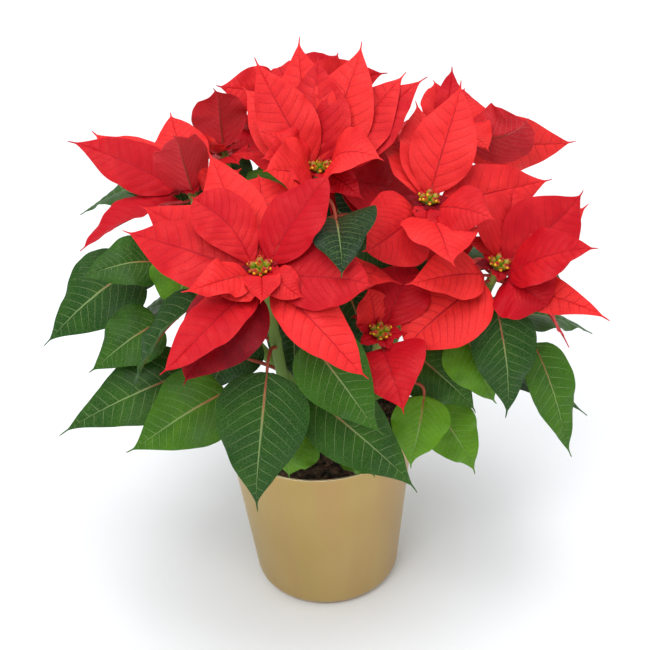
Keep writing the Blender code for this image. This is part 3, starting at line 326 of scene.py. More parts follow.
def mesh_piece(name, points, faces):
    """A smooth mesh object at the origin, from points in millimetres."""
    data = bpy.data.meshes.new(name)
    data.from_pydata((np.asarray(points) * MM).tolist(), [], faces)
    data.polygons.foreach_set("use_smooth", [True] * len(data.polygons))
    made = bpy.data.objects.new(name, data)
    bpy.context.scene.collection.objects.link(made)
    return made


def ring_faces(first, second, count):
    """Quads between two rings of points, given each ring's first number."""
    turns = [(n, (n + 1) % count) for n in range(count)]
    return [(first + n, first + m, second + m, second + n) for n, m in turns]


rim_of_soil = pot_side_radius(SOIL_TOP) - POT_WALL - SOIL_GAP
hole = TRUNK_RADIUS + TOUCH_GAP
points, faces = [], []
angles = np.linspace(0, 2 * math.pi, SOIL_SIDES, endpoint=False)
section = [(hole, SOIL_TOP - depth, 0) for depth in SOIL_HOLE_DEPTHS]
section += [(r, SOIL_TOP, 1) for r in np.linspace(hole + 0.4, rim_of_soil, SOIL_RINGS)]
section += [(pot_side_radius(SOIL_TOP - depth) - POT_WALL - SOIL_GAP, SOIL_TOP - depth, 0)
            for depth in np.linspace(*SOIL_SIDE_DEPTHS, SOIL_SIDE_ROWS)]
for radius, z, rough in section:
    for a in angles:
        x, y = radius * math.cos(a), radius * math.sin(a)
        points.append((x, y, z + rough * rough_height(x, y)))
for k in range(len(section) - 1):
    faces += ring_faces(k * SOIL_SIDES, (k + 1) * SOIL_SIDES, SOIL_SIDES)
last = (len(section) - 1) * SOIL_SIDES
faces += [tuple(reversed(range(SOIL_SIDES))), tuple(range(last, last + SOIL_SIDES))]
draw = random.Random(CRUMB_SEED)
bpy.ops.mesh.primitive_ico_sphere_add(subdivisions=1, radius=1.0)
crumb = bpy.context.object
crumb_points = np.array([v.co[:] for v in crumb.data.vertices])
crumb_faces = [tuple(p.vertices) for p in crumb.data.polygons]
bpy.data.objects.remove(crumb)
for _ in range(CRUMBS):
    a, radius = draw.uniform(0, 2 * math.pi), math.sqrt(draw.uniform(0.02, 0.94)) * rim_of_soil
    size = draw.choice(CRUMB_SIZES)
    stretch = np.array([size * draw.uniform(*shares) for shares in ((0.7, 1.7), (0.6, 1.0), (0.4, 0.8))])
    angle = draw.uniform(0, math.pi)
    turned = np.array(Matrix.Rotation(angle, 3, Vector((draw.gauss(0, 0.3), draw.gauss(0, 0.3), 1))))
    x, y = radius * math.cos(a), radius * math.sin(a)
    jitter = np.array([[draw.uniform(0.8, 1.2)] for _ in crumb_points])
    middle = np.array([x, y, SOIL_TOP + rough_height(x, y) + 0.2 * size])
    count = len(points)
    points += ((crumb_points * jitter * stretch) @ turned.T + middle).tolist()
    faces += [tuple(i + count for i in face) for face in crumb_faces]
soil = mesh_piece("potting_soil", points, faces)

earth, tree, shader = new_material("damp_peat", 0.93)
flecks = noise(tree, 900.0, 3.0)
lumps = noise(tree, 130.0, 4.0)
dark = mixed(tree, between(tree, lumps, 0.35, 0.65), *PEAT_SHADES)
peat = mixed(tree, between(tree, flecks, 0.58, 0.70, 0.0, 0.7), dark, PEAT_FLECKS)
tree.links.new(peat, shader.inputs["Base Color"])
bumped(tree, shader, flecks, 0.0005, 0.8)
soil.data.materials.append(earth)
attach(soil, "root")
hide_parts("soil")


# The woody foot of the plant: one short upright stem, rooted in the soil, whose green turns to pale brown
# bark. The green side stems grow out of it a little apart from each other.

TRUNK_FOOT = 92.0
TRUNK_TOP = 181.0
TRUNK_SIDES = 10
TRUNK_SPANS = 4
TRUNK_FINE_ROWS = 60
TRUNK_FINE_SIDES = 40
BARK_RIDGES = 0.45
BARK_SEED = 2.0
WOOD_SHADES = ((0.20, 0.17, 0.075), (0.11, 0.14, 0.045))
BARK_CRACKS = (0.10, 0.065, 0.035)
# A direction that no stem or cup runs along.
ASKEW = np.array([0.31, 0.95, 0.07])


def crossed(a, b):
    """Cross products of rows, or of two vectors."""
    ax, ay, az = a[..., 0], a[..., 1], a[..., 2]
    bx, by, bz = b[..., 0], b[..., 1], b[..., 2]
    return np.stack([ay * bz - az * by, az * bx - ax * bz, ax * by - ay * bx], axis=-1)


def tube(points, radii, sides, first_normal=None):
    """Vertices and faces of a capped tube along points. The first ring may stand square to first_normal."""
    points = np.array(points, float)
    count = len(points)
    vertices = []
    right = None
    for k, p in enumerate(points):
        forward = unit(points[min(k + 1, count - 1)] - points[max(k - 1, 0)])
        if k == 0 and first_normal is not None:
            forward = unit(first_normal)
        start = right if right is not None else unit(crossed(forward, ASKEW))
        right = unit(start - (start @ forward) * forward)
        above = crossed(forward, right)
        for n in range(sides):
            a = 2 * math.pi * n / sides
            vertices.append(p + radii[k] * (right * math.cos(a) + above * math.sin(a)))
    faces = [tuple(reversed(range(sides)))]
    for k in range(count - 1):
        for n in range(sides):
            m = (n + 1) % sides
            i, j = k * sides, (k + 1) * sides
            faces.append((i + n, i + m, j + m, j + n))
    faces.append(tuple(range((count - 1) * sides, count * sides)))
    return np.array(vertices), faces


def ridged(points, faces, depth, seed):
    """A tube along Z with low ridges and knots on its bark."""
    grown = []
    for x, y, z in points:
        lift = depth * mathutils_noise.noise((0.25 * x + seed, 0.25 * y, 0.07 * z))
        lift += 0.5 * depth * mathutils_noise.noise((0.9 * x, 0.9 * y + seed, 0.3 * z))
        share = 1 + lift / TRUNK_RADIUS
        grown.append((x * share, y * share, z))
    return np.array(grown), faces


trunk_middles = [(0.0, 0.0, z) for z in np.linspace(TRUNK_FOOT, TRUNK_TOP, TRUNK_FINE_ROWS)]
trunk = tube(trunk_middles, [TRUNK_RADIUS] * TRUNK_FINE_ROWS, TRUNK_FINE_SIDES)
main_stem = mesh_piece("main_stem", *ridged(*trunk, BARK_RIDGES, BARK_SEED))
bpy.context.view_layer.objects.active = main_stem
main_stem.select_set(True)
bpy.ops.object.shade_smooth_by_angle(angle=math.radians(50))
main_stem.select_set(False)

bark, tree, shader = new_material("young_bark", 0.72)
rough_bark = noise(tree, 160.0, 5.0, (1.0, 1.0, 0.25))
patches = noise(tree, 45.0, 3.0)
wood = mixed(tree, between(tree, patches, 0.4, 0.62), *WOOD_SHADES)
wood = mixed(tree, between(tree, rough_bark, 0.52, 0.72, 0.0, 0.7), wood, BARK_CRACKS)
tree.links.new(wood, shader.inputs["Base Color"])
bumped(tree, shader, rough_bark, 0.0006, 0.8)
main_stem.data.materials.append(bark)
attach(main_stem, "root")
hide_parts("main_stem")


# The nine leafy stems: pale green stems that rise from the foot to the flower heads, each with its dark
# green leaves on long reddish stalks. Each grows out of the stem in one piece.
# The tables give where the tips of leaves and bracts show in the picture, and how the blades bend aside.

# The side stems leave the trunk sideways, bend up, and lean out more the farther out their heads stand.
STEM_FOOT_RADIUS = 4.8
STEM_END_RADIUS = 3.8
STEM_SIDES = 7
STEM_SPANS = 7
STEM_OFF_TRUNK = 0.35
STEM_PULL = 0.4
STEM_START_RISE = 0.35
TILT_PER_MM = 0.16

# The hub is the last stretch of a stem, from which the bracts grow on short stalks.
HUB_LENGTH = 14.0
HUB_RADIUS = 3.6
HUB_TOP_BARE = 2.4
BRACT_STALK = 10.0
SMALL_STALK_SHARE = 0.6
BRACT_STALK_SLOPES = (0.15, 0.5)

# The plain cone that blades keep clear of in place of the cups.
CYATHIA_HEIGHT = 7.0
CYATHIA_RADII = (4.8, 8.6)
CYATHIA_SIDES = 8

# The blades: how they widen and narrow, the long thin point, which bends aside, and the waves of the edge.
BRACT_FORM = (0.85, 1.3)
LEAF_FORM = (0.5, 1.35)
LEAF_SHAPE = dict(arch=8.0, fold=16.0, cup=-22.0, ripple=1.8, form=LEAF_FORM)
BODY_END = 0.94
POINT_HALF_WIDTH = 1.9
HOOK = 3.5
FOLD_EASE = 0.35
WAVES = 2.6
WAVE_SHIFT = 1.7
BRACT_THICKNESS = 0.8
LEAF_THICKNESS = 0.8
STALK_HALF_WIDTH = 1.1
STALK_THICKNESS = 2.0
STALK_PULL = 0.45
LEAF_STALK_RISE = 0.5
LEAF_FACE_OUT = 0.7
LEAF_SPAN_OF_STEM = (0.15, 0.94)
SMALL_WIDTH = 27.0
MEDIUM_WIDTH = 47.0

# The rows of points of a blade, as (share of its length, points across).
LAMINA_ROWS = {
    "large": ((0.1, 3), (0.32, 5), (0.6, 5), (0.86, 3), (1.0, 1)),
    "medium": ((0.14, 3), (0.38, 5), (0.76, 3), (1.0, 1)),
    "small": ((0.25, 3), (0.6, 3), (1.0, 1)),
}
UP = (0.0, 0.0, 1.0)
FRONT_UP = (0.0, -0.7, 1.0)
FRONT = (0.0, -1.0, 0.5)
NEAR = -1
FAR = 1

# The flower heads: the pixel where the middle shows, its depth behind the pot's middle, the height at
# which its stem leaves the trunk, and its bracts from the innermost to the outermost. Each bract has the
# pixel where its tip shows, how far the tip is from the head's middle, on which side, near or far, and its
# width. Where a bract is seen from below, its face looks away.
HEADS = {
    "head_1": dict(pixel=(261, 270), depth=-95, leaves_trunk_at=158, bracts=[
        dict(tip=(220, 298), reach=36, side=NEAR, width=30, form=(0.9, 0.75)),
        dict(tip=(260, 304), reach=30, side=NEAR, width=24, form=(0.8, 1.0)),
        dict(tip=(305, 297), reach=36, side=NEAR, width=24, form=(0.8, 1.0)),
        dict(tip=(180, 292), reach=64, side=NEAR, width=28, ripple=3.0),
        dict(tip=(331, 172), reach=84, side=FAR, width=42, face=(-0.3, -1, 0.6), form=(0.6, 0.85)),
        dict(tip=(258, 174), reach=90, side=FAR, width=42, face=(0.1, -1, 0.7), arch=8, form=(0.9, 0.6)),
        dict(tip=(374, 287), reach=76, side=NEAR, width=46, face=(0, -0.8, 1), arch=4, form=(0.55, 0.7)),
        dict(tip=(296, 254), reach=38, side=FAR, width=28, face=(0, -1, 0.8)),
        dict(tip=(190, 196), reach=70, side=FAR, width=38, face=(0.3, -1, 0.6), sweep=6, form=(0.95, 0.6)),
        dict(tip=(121, 230), reach=102, side=FAR, width=50),
        dict(tip=(370, 380), reach=104, side=NEAR, width=40, face=(0.3, -1, 0.6), form=(0.7, 1.0)),
        dict(tip=(158, 376), reach=104, side=NEAR, width=34, face=(-0.3, -0.8, 0.8), form=(0.6, 0.85)),
        dict(tip=(137, 205), reach=102, side=FAR, width=50),
        dict(tip=(207, 149), reach=108, side=FAR, width=44, face=FRONT),
        dict(tip=(403, 285), reach=103, side=FAR, width=52, face=(0.1, -0.8, 1), sweep=-4),
        dict(tip=(183, 387), reach=94, side=NEAR, width=52, face=(-0.1, -1, 0.6), form=(0.6, 0.9)),
    ]),
    "head_2": dict(pixel=(320, 170), depth=5, leaves_trunk_at=None, bracts=[
        dict(tip=(365, 200), reach=44, side=NEAR, width=22),
        dict(tip=(262, 128), reach=54, side=NEAR, width=36, ripple=3.2),
        dict(tip=(384, 158), reach=60, side=NEAR, width=50, arch=14, face=(0.1, -0.8, 1)),
        dict(tip=(259, 163), reach=52, side=NEAR, width=44, face=(0, -1, 0.8)),
        dict(tip=(319, 53), reach=82, side=FAR, width=50, face=(0, -1, 0.6)),
        dict(tip=(254, 56), reach=94, side=FAR, width=42, face=(0.3, -1, 0.5)),
        dict(tip=(362, 40), reach=98, side=FAR, width=50, face=(-0.1, -1, 0.5)),
        dict(tip=(300, 35), reach=100, side=FAR, width=48, face=FRONT),
        dict(tip=(241, 86), reach=88, side=FAR, width=46, face=(0.6, -0.8, 0.5)),
        dict(tip=(407, 71), reach=96, side=FAR, width=46, face=(-0.4, -1, 0.4)),
        dict(tip=(429, 76), reach=104, side=FAR, width=44, face=(-0.3, -1, 0.6)),
        dict(tip=(229, 155), reach=80, side=FAR, width=22),
        dict(tip=(396, 218), reach=84, side=FAR, width=60, face=(0.3, -0.7, 1), form=(0.8, 0.6)),
        dict(tip=(421, 202), reach=90, side=FAR, width=66, face=(0.3, -0.7, 1), form=(0.7, 0.5)),
        dict(tip=(262, 172), reach=64, side=NEAR, width=54),
        dict(tip=(354, 226), reach=76, side=FAR, width=56, face=(0, -0.9, 0.9), form=(0.6, 0.8)),
    ]),
    "head_3": dict(pixel=(428, 202), depth=-15, leaves_trunk_at=172, bracts=[
        dict(tip=(421, 234), reach=27, side=NEAR, width=20, face=(0, -1, 0.6)),
        dict(tip=(497, 217), reach=60, side=NEAR, width=44, face=(0, -0.8, 1), cup=-50),
        dict(tip=(461, 79), reach=92, side=FAR, width=46, face=(-0.2, -1, 0.5)),
        dict(tip=(387, 123), reach=80, side=FAR, width=34, face=(0.5, -1, 0.4)),
        dict(tip=(415, 100), reach=86, side=FAR, width=44, face=(0.2, -1, 0.5)),
        dict(tip=(553, 179), reach=104, side=FAR, width=44, face=(0, -0.9, 0.8)),
        dict(tip=(361, 252), reach=66, side=NEAR, width=56, face=(-0.1, -1, 0.7), form=(0.7, 0.9)),
        dict(tip=(456, 268), reach=70, side=NEAR, width=54, face=(0.1, -0.9, 0.9)),
        dict(tip=(402, 268), reach=62, side=FAR, width=54, face=(-0.1, -1, 0.8), form=(0.6, 0.8)),
        dict(tip=(408, 230), reach=40, side=FAR, width=40, face=(0, -1, 0.6), form=(0.6, 0.8)),
        dict(tip=(430, 283), reach=66, side=FAR, width=54, face=(0, -1, 0.8)),
    ]),
    "head_4": dict(pixel=(498, 267), depth=-35, leaves_trunk_at=155, bracts=[
        dict(tip=(487, 236), reach=34, side=FAR, width=32, face=(0, -1, 0.6)),
        dict(tip=(502, 185), reach=61, side=FAR, width=54, face=(0, -1, 0.6), fold=22, form=(0.8, 0.9)),
        dict(tip=(598, 243), reach=78, side=NEAR, width=48),
        dict(tip=(584, 189), reach=90, side=FAR, width=58, face=(-0.2, -1, 0.6)),
        dict(tip=(548, 308), reach=48, side=NEAR, width=50, face=(0, -1, 0.5), form=(0.5, 0.55)),
        dict(tip=(404, 285), reach=76, side=NEAR, width=40),
        dict(tip=(589, 203), reach=94, side=FAR, width=34, face=(-0.1, -1, 0.6)),
        dict(tip=(611, 322), reach=90, side=NEAR, width=28, form=(0.7, 1.3)),
        dict(tip=(403, 352), reach=92, side=NEAR, width=60, face=(-0.3, -0.8, 0.8), form=(0.6, 0.75)),
    ]),
    "head_5": dict(pixel=(190, 187), depth=35, leaves_trunk_at=174, bracts=[
        dict(tip=(173, 135), reach=50, side=NEAR, width=50, face=(-0.5, 0.8, 0.3), fold=40, cup=0,
             form=(0.35, 1.1)),
        dict(tip=(170, 112), reach=72, side=FAR, width=42, face=(0.1, -1, 0.5)),
        dict(tip=(66, 141), reach=98, side=FAR, width=40),
        dict(tip=(91, 130), reach=96, side=FAR, width=38),
        dict(tip=(79, 252), reach=94, side=NEAR, width=42, face=(-0.5, -0.1, 1), fold=34, form=(0.6, 1.0)),
        dict(tip=(242, 168), reach=42, side=NEAR, width=34, face=(0, -1, 0.6)),
    ]),
    "head_6": dict(pixel=(292, 88), depth=120, leaves_trunk_at=166, bracts=[
        dict(tip=(262, 96), reach=30, side=NEAR, width=18),
        dict(tip=(279, 67), reach=44, side=FAR, width=32, face=FRONT),
        dict(tip=(216, 81), reach=62, side=NEAR, width=38, face=FRONT),
        dict(tip=(338, 52), reach=58, side=FAR, width=40, face=FRONT),
        dict(tip=(389, 73), reach=80, side=NEAR, width=46, face=FRONT),
    ]),
    "head_7": dict(pixel=(446, 130), depth=90, leaves_trunk_at=150, bracts=[
        dict(tip=(489, 152), reach=46, side=NEAR, width=42, face=(-0.5, 0.6, 0.8)),
        dict(tip=(452, 66), reach=52, side=FAR, width=20, face=FRONT),
        dict(tip=(433, 80), reach=44, side=FAR, width=30, face=FRONT),
        dict(tip=(530, 122), reach=66, side=NEAR, width=50, face=(0.2, 1, 0.2), fold=26, sweep=-9,
             form=(0.9, 0.7)),
        dict(tip=(577, 134), reach=116, side=FAR, width=44, face=(-0.1, -1, 0.7)),
        dict(tip=(465, 88), reach=48, side=FAR, width=54, face=FRONT, form=(0.7, 0.8)),
    ]),
    "head_8": dict(pixel=(380, 334), depth=-72, leaves_trunk_at=147, bracts=[
        dict(tip=(352, 316), reach=24, side=NEAR, width=18),
        dict(tip=(404, 415), reach=66, side=NEAR, width=56, face=(0, -1, 0.4), form=(0.4, 1.2)),
        dict(tip=(420, 262), reach=66, side=FAR, width=44, face=(-0.1, -1, 0.8), form=(1.1, 1.0)),
        dict(tip=(366, 286), reach=40, side=NEAR, width=32, face=(0.2, -1, 0.6), form=(1.1, 1.0)),
    ]),
    "head_9": dict(pixel=(222, 148), depth=95, leaves_trunk_at=152, bracts=[
        dict(tip=(213, 88), reach=60, side=NEAR, width=44, face=(-0.4, 1, 0.2), fold=30, form=(0.7, 1.2)),
        dict(tip=(192, 128), reach=44, side=NEAR, width=30, face=(-0.3, -1, 0.6)),
        dict(tip=(240, 165), reach=34, side=NEAR, width=34, face=(0.2, -0.8, 0.9)),
    ]),
}

# The green leaves that show: the stem that each grows on, the pixels and the depths of the blade's neck and
# tip, and its width. The ones marked first are placed before the bracts, which bend aside for them.
LEAVES = [
    dict(stem=5, neck=(138, 266), tip=(43, 347), depths=(0, -24), width=64, face=(-0.3, -0.8, 1), fold=8),
    dict(stem=5, neck=(156, 262), tip=(74, 281), depths=(-20, -44), width=40, face=(-0.2, -0.8, 1)),
    dict(stem=5, neck=(190, 262), tip=(178, 320), depths=(-35, -50), width=50),
    dict(stem=1, neck=(200, 300), tip=(130, 397), depths=(-86, -92), width=40, fold=34),
    dict(stem=1, neck=(160, 322), tip=(88, 373), depths=(-44, -60), width=46, face=(-0.2, -0.8, 0.9)),
    dict(stem=1, neck=(195, 370), tip=(58, 437), depths=(-60, -78), width=54, face=(-0.2, -0.8, 0.9)),
    dict(stem=1, neck=(226, 392), tip=(125, 453), depths=(-84, -100), width=58, face=(-0.2, -0.8, 0.9)),
    dict(stem=1, neck=(267, 372), tip=(258, 513), depths=(-118, -138), width=62, face=(0, -1, 0.6)),
    dict(stem=8, neck=(310, 395), tip=(418, 494), depths=(-102, -110), width=52, face=(0.1, -0.9, 0.8)),
    dict(stem=2, neck=(308, 340), tip=(390, 432), depths=(-104, -118), width=50, face=(0.2, -1, 0.7)),
    dict(stem=8, neck=(414, 352), tip=(476, 414), depths=(-44, -60), width=50, face=(0, -1, 0.7)),
    dict(stem=3, neck=(462, 330), tip=(497, 404), depths=(-48, -54), width=48, face=(0.1, -1, 0.7)),
    dict(stem=4, neck=(497, 308), tip=(505, 419), depths=(-74, -88), width=48, face=(0.2, -1, 0.5)),
    dict(stem=4, neck=(534, 344), tip=(572, 458), depths=(-36, -44), width=38, face=(0.4, -1, 0.5)),
    dict(stem=4, neck=(434, 405), tip=(475, 475), depths=(-36, -44), width=42, face=(0.1, -1, 0.7)),
    dict(stem=8, neck=(424, 396), tip=(411, 469), depths=(-72, -80), width=42, face=(0.1, -1, 0.6)),
    dict(stem=2, neck=(336, 220), tip=(341, 279), depths=(-52, -118), width=64, face=(0, -0.6, 1), fold=26,
         cup=-10, form=(0.35, 1.1), first=True),
    dict(stem=1, neck=(300, 430), tip=(290, 478), depths=(-62, -70), width=46),
    dict(stem=8, neck=(340, 450), tip=(375, 478), depths=(-56, -60), width=30),
    dict(stem=2, neck=(300, 300), tip=(300, 390), depths=(-66, -76), width=56),
    dict(stem=2, neck=(376, 232), tip=(424, 300), depths=(-14, -28), width=56, face=(0, -1, 0.6),
         first=True),
    dict(stem=2, neck=(346, 286), tip=(374, 364), depths=(-34, -50), width=54, face=(0, -1, 0.6),
         first=True),
    dict(stem=5, neck=(204, 212), tip=(126, 193), depths=(66, 70), width=46, face=(0, -1, 0.6)),
    dict(stem=1, neck=(240, 326), tip=(206, 394), depths=(-50, -62), width=50, face=(0, -1, 0.6)),
    dict(stem=9, neck=(212, 162), tip=(246, 212), depths=(66, 56), width=48, face=(0, -1, 0.6)),
    dict(stem=4, neck=(520, 275), tip=(566, 286), depths=(-8, -12), width=44),
]
STALK_LENGTH = 42.0

# The back of the plant, which the picture does not show, follows a rule: leaves and bracts that hang a
# little. The leaves' headings are given for each stem. A head that is not at the front has a bract at each
# heading where it has no long one yet.
BACK_SEED = 7
BACK_LEAVES = {
    5: (150, 178),
    9: (108, 138, 164),
    6: (66, 98, 124),
    7: (30, 60, 82),
    4: (2, 28),
    3: (12, 40),
    2: (84, 130),
}
BACK_LEAF_LOWEST = 0.42
BACK_LEAF_STEP = 0.24
BACK_LEAF_STALK_RISE = 12.0
BACK_LEAF_LENGTHS = (88.0, 108.0)
BACK_LEAF_WIDTHS = (54.0, 66.0)
BACK_LEAF_DROOPS = (-42.0, -22.0)
BACK_LEAF_SWAY = 12.0
BACK_BRACT_HEADINGS = (15.0, 55.0, 95.0, 135.0)
BACK_BRACT_SWAY = 8.0
BACK_BRACT_ROOM = 26.0
BACK_BRACT_LENGTHS = (72.0, 92.0)
BACK_BRACT_WIDTHS = (42.0, 54.0)
BACK_BRACT_DROOPS = (-36.0, -20.0)
BACK_BRACT_ROOTS = (5.0, 11.5)
BACK_BRACT_FACE_OUT = 0.4
LONG_BRACT = 45.0
FRONT_HEADS_DEPTH = -60.0

# The sides of the plain pot that blades keep clear of.
POT_SEGMENTS = 36

# How far blades keep from other nodes and from each other, and how far one bends to do so: it slides back,
# swings in the picture, rolls and shortens, or turns about its root where the picture does not show it.
CLEAR_OF_OTHERS = 0.9
CLEAR_OF_OWN = 0.25
SLIDE_UNIT = 6.0
SWING_UNIT = 2.5
ROLL_UNIT = 12.0
LENGTHS = (1.0, 0.88)
SLIDES = (0, 6, -6, 12, -12, 18, -18, 26, -26, 36, -36)
SWINGS = (0, 3, -3, 7, -7)
ROLLS = (0, 14, -14, 28, -28)
ENOUGH_TRIES = 90
TURNS = (0, 5, -5, 10, -10, 16, -16, 24, -24)


class Blade:
    """A bract or a leaf: a stalk from root to neck, then a blade from neck to tip.

    width is across the widest place, face is where the upper side roughly looks, arch is the height of the
    midrib over its chord, fold is how far each half rises from the midrib and cup is how much more it does
    at the edge, both in degrees. ripple is the height of the waves along the edge and sweep bends the
    midrib sideways. form is the pair of powers by which the blade widens from its neck and narrows to
    its tip. stalk_pull is the way a curved stalk leaves the stem; a bract's stalk is straight.
    """

    def __init__(self, root, neck, tip, width, face=UP, arch=6.0, fold=14.0, cup=-16.0, ripple=1.6,
                 sweep=0.0, phase=0.0, stalk_pull=None, rows="large", form=BRACT_FORM,
                 thickness=BRACT_THICKNESS):
        self.root, self.neck, self.tip = (np.array(p, float) for p in (root, neck, tip))
        self.width, self.face, self.arch = width, np.array(face, float), arch
        self.fold, self.cup, self.ripple, self.sweep = fold, cup, ripple, sweep
        self.phase, self.form = phase, form
        self.stalk_pull = None if stalk_pull is None else np.array(stalk_pull, float)
        self.rows, self.thickness = rows, thickness

    def turned(self, rotation):
        """The same blade, swung about its root."""
        other = Blade.__new__(Blade)
        other.__dict__.update(self.__dict__)
        other.neck = self.root + rotation @ (self.neck - self.root)
        other.tip = self.root + rotation @ (self.tip - self.root)
        other.face = rotation @ self.face
        return other

    def slid(self, depth, swing, roll):
        """The same blade in nearly the same place of the picture, but farther back by depth.

        swing turns it in the picture and roll turns it about its own length, both in degrees.
        """
        sight = unit(self.tip - EYE)
        if self.stalk_pull is None:
            target = unit(self.tip + sight * depth - self.root)
            other = self.turned(turn(sight, swing) @ turn_between(unit(self.tip - self.root), target))
            other.tip = other.root + (other.tip - other.root) * (
                np.linalg.norm(self.tip + sight * depth - self.root) / np.linalg.norm(self.tip - self.root))
        else:
            other = self.turned(np.eye(3))
            other.neck = self.neck + sight * depth
            other.tip = other.neck + turn(sight, swing) @ (self.tip - self.neck)
        other.face = turn(unit(other.tip - other.neck), roll) @ other.face
        return other


def rows_to_unit(rows):
    """Rows of vectors, each at length 1."""
    return rows / np.sqrt((rows * rows).sum(axis=1))[:, None]


def turn(axis, degrees):
    """The matrix that turns about an axis."""
    return np.array(Matrix.Rotation(math.radians(degrees), 3, Vector(axis)))


def turn_between(a, b):
    """The matrix that turns direction a to direction b."""
    return np.array(Vector(a).rotation_difference(Vector(b)).to_matrix())


def sight_line(px, py):
    """The direction in which the eye sees a pixel of the picture."""
    right = np.array([1.0, 0.0, 0.0])
    above = crossed(VIEW_BACK, right)
    focal = VIEW_PIXELS_PER_MM * VIEW_DISTANCE
    a, b = px - PICTURE_MIDDLE, py - PICTURE_MIDDLE
    across = math.cos(VIEW_ROLL) * a + math.sin(VIEW_ROLL) * b
    down = -math.sin(VIEW_ROLL) * a + math.cos(VIEW_ROLL) * b
    return unit(right * across / focal - above * down / focal - VIEW_BACK)


def seen_at(px, py, depth):
    """The point that shows at a pixel and lies depth behind the middle of the pot."""
    ray = sight_line(px, py)
    return EYE + ray * (depth - EYE[1]) / ray[1]


def reached_at(px, py, start, reach, side):
    """The point that shows at a pixel and lies reach from start, on its near or its far side."""
    ray = sight_line(px, py)
    nearest = EYE + ray * ((start - EYE) @ ray)
    spare = reach**2 - (nearest - start) @ (nearest - start)
    return nearest + ray * side * math.sqrt(max(spare, 0.0))


def direction(heading, rise):
    """Unit vector from a compass heading, 0 along +X and 90 to the back, and a rise over the horizon."""
    h, r = math.radians(heading), math.radians(rise)
    return np.array([math.cos(h) * math.cos(r), math.sin(h) * math.cos(r), math.sin(r)])


def half_widths(blade, t):
    """Half the width at each place t along the blade: a body that ends in a long thin point."""
    widen, narrow = blade.form
    widest = widen / (widen + narrow)
    body = np.clip(t / BODY_END, 0.0, 1.0)
    share = (body / widest)**widen * ((1 - body) / (1 - widest))**narrow
    point = POINT_HALF_WIDTH * np.sqrt(np.clip(1 - t, 0.0, 1.0))
    return np.maximum(share * blade.width / 2, point)


def midrib(blade, t):
    """Points of the midrib and its directions: across to the right, and out of the upper side."""
    chord = blade.tip - blade.neck
    along = unit(chord)
    out = unit(blade.face - (blade.face @ along) * along)
    right = crossed(along, out)
    step = 0.01
    s = np.concatenate([t, t + step, t - step])[:, None]
    inside = np.minimum(np.maximum(s, 0.0), 1.0)
    hook = HOOK * math.sin(3 * blade.phase) * (inside**8 - inside)
    points = (blade.neck + chord * s + out * (blade.arch * np.sin(math.pi * inside**0.85))
              + right * (blade.sweep * np.sin(math.pi * s) + hook))
    count = len(t)
    forward = rows_to_unit(points[count:2 * count] - points[2 * count:])
    across = rows_to_unit(crossed(forward, np.broadcast_to(out, forward.shape)))
    return points[:count], across, crossed(across, forward)


def blade_points(blade, t, v, margin=0.0):
    """Points of the blade's middle surface at t from neck to tip and v from -1, left edge, to 1."""
    centre, across, out = midrib(blade, t)
    side = np.where(v >= 0, 1, -1)
    reach = np.abs(v) * (half_widths(blade, t) + margin)
    angle = np.radians(blade.fold * (1 - FOLD_EASE * t) + blade.cup * np.abs(v) / 2)
    waves = np.sin(2 * math.pi * WAVES * t + blade.phase + WAVE_SHIFT * (side > 0))
    ripple = blade.ripple * v**2 * waves * np.sin(math.pi * t)
    return (centre + across * (side * reach * np.cos(angle))[:, None]
            + out * (reach * np.sin(angle) + ripple)[:, None])


def stalk_points(blade, count):
    """Middle points of the stalk from its root up to, but without, the neck."""
    s = np.arange(count)[:, None] / count
    if blade.stalk_pull is None:
        return blade.root + (blade.neck - blade.root) * s
    pull = STALK_PULL * np.linalg.norm(blade.neck - blade.root)
    before_neck = blade.neck - unit(blade.tip - blade.neck) * pull
    return (blade.root * (1 - s)**3 + 3 * (blade.root + blade.stalk_pull * pull) * s * (1 - s)**2
            + 3 * before_neck * s**2 * (1 - s) + blade.neck * s**3)


def zipped(a, b):
    """Triangles between two rows of vertex numbers, which may differ in length."""
    triangles, i, j = [], 0, 0
    while i < len(a) - 1 or j < len(b) - 1:
        next_a = (i + 1) / (len(a) - 1) if i < len(a) - 1 else 2.0
        next_b = (j + 1) / (len(b) - 1) if j < len(b) - 1 else 2.0
        if next_a <= next_b:
            triangles.append((a[i], a[i + 1], b[j]))
            i += 1
        else:
            triangles.append((a[i], b[j + 1], b[j]))
            j += 1
    return triangles


@lru_cache
def sheet_pattern(stalk_rows, lamina_rows):
    """The triangles of a blade's sheet, from the count of points in each row, and its solid's faces."""
    counts = [2] * stalk_rows + [columns for _, columns in lamina_rows]
    starts = np.cumsum([0] + counts)
    rows = [list(range(a, a + n)) for a, n in zip(starts, counts)]
    sheet = [tri for a, b in zip(rows, rows[1:]) for tri in zipped(a, b)]
    return np.array(sheet), closed_sheet(sheet, int(starts[-1]))


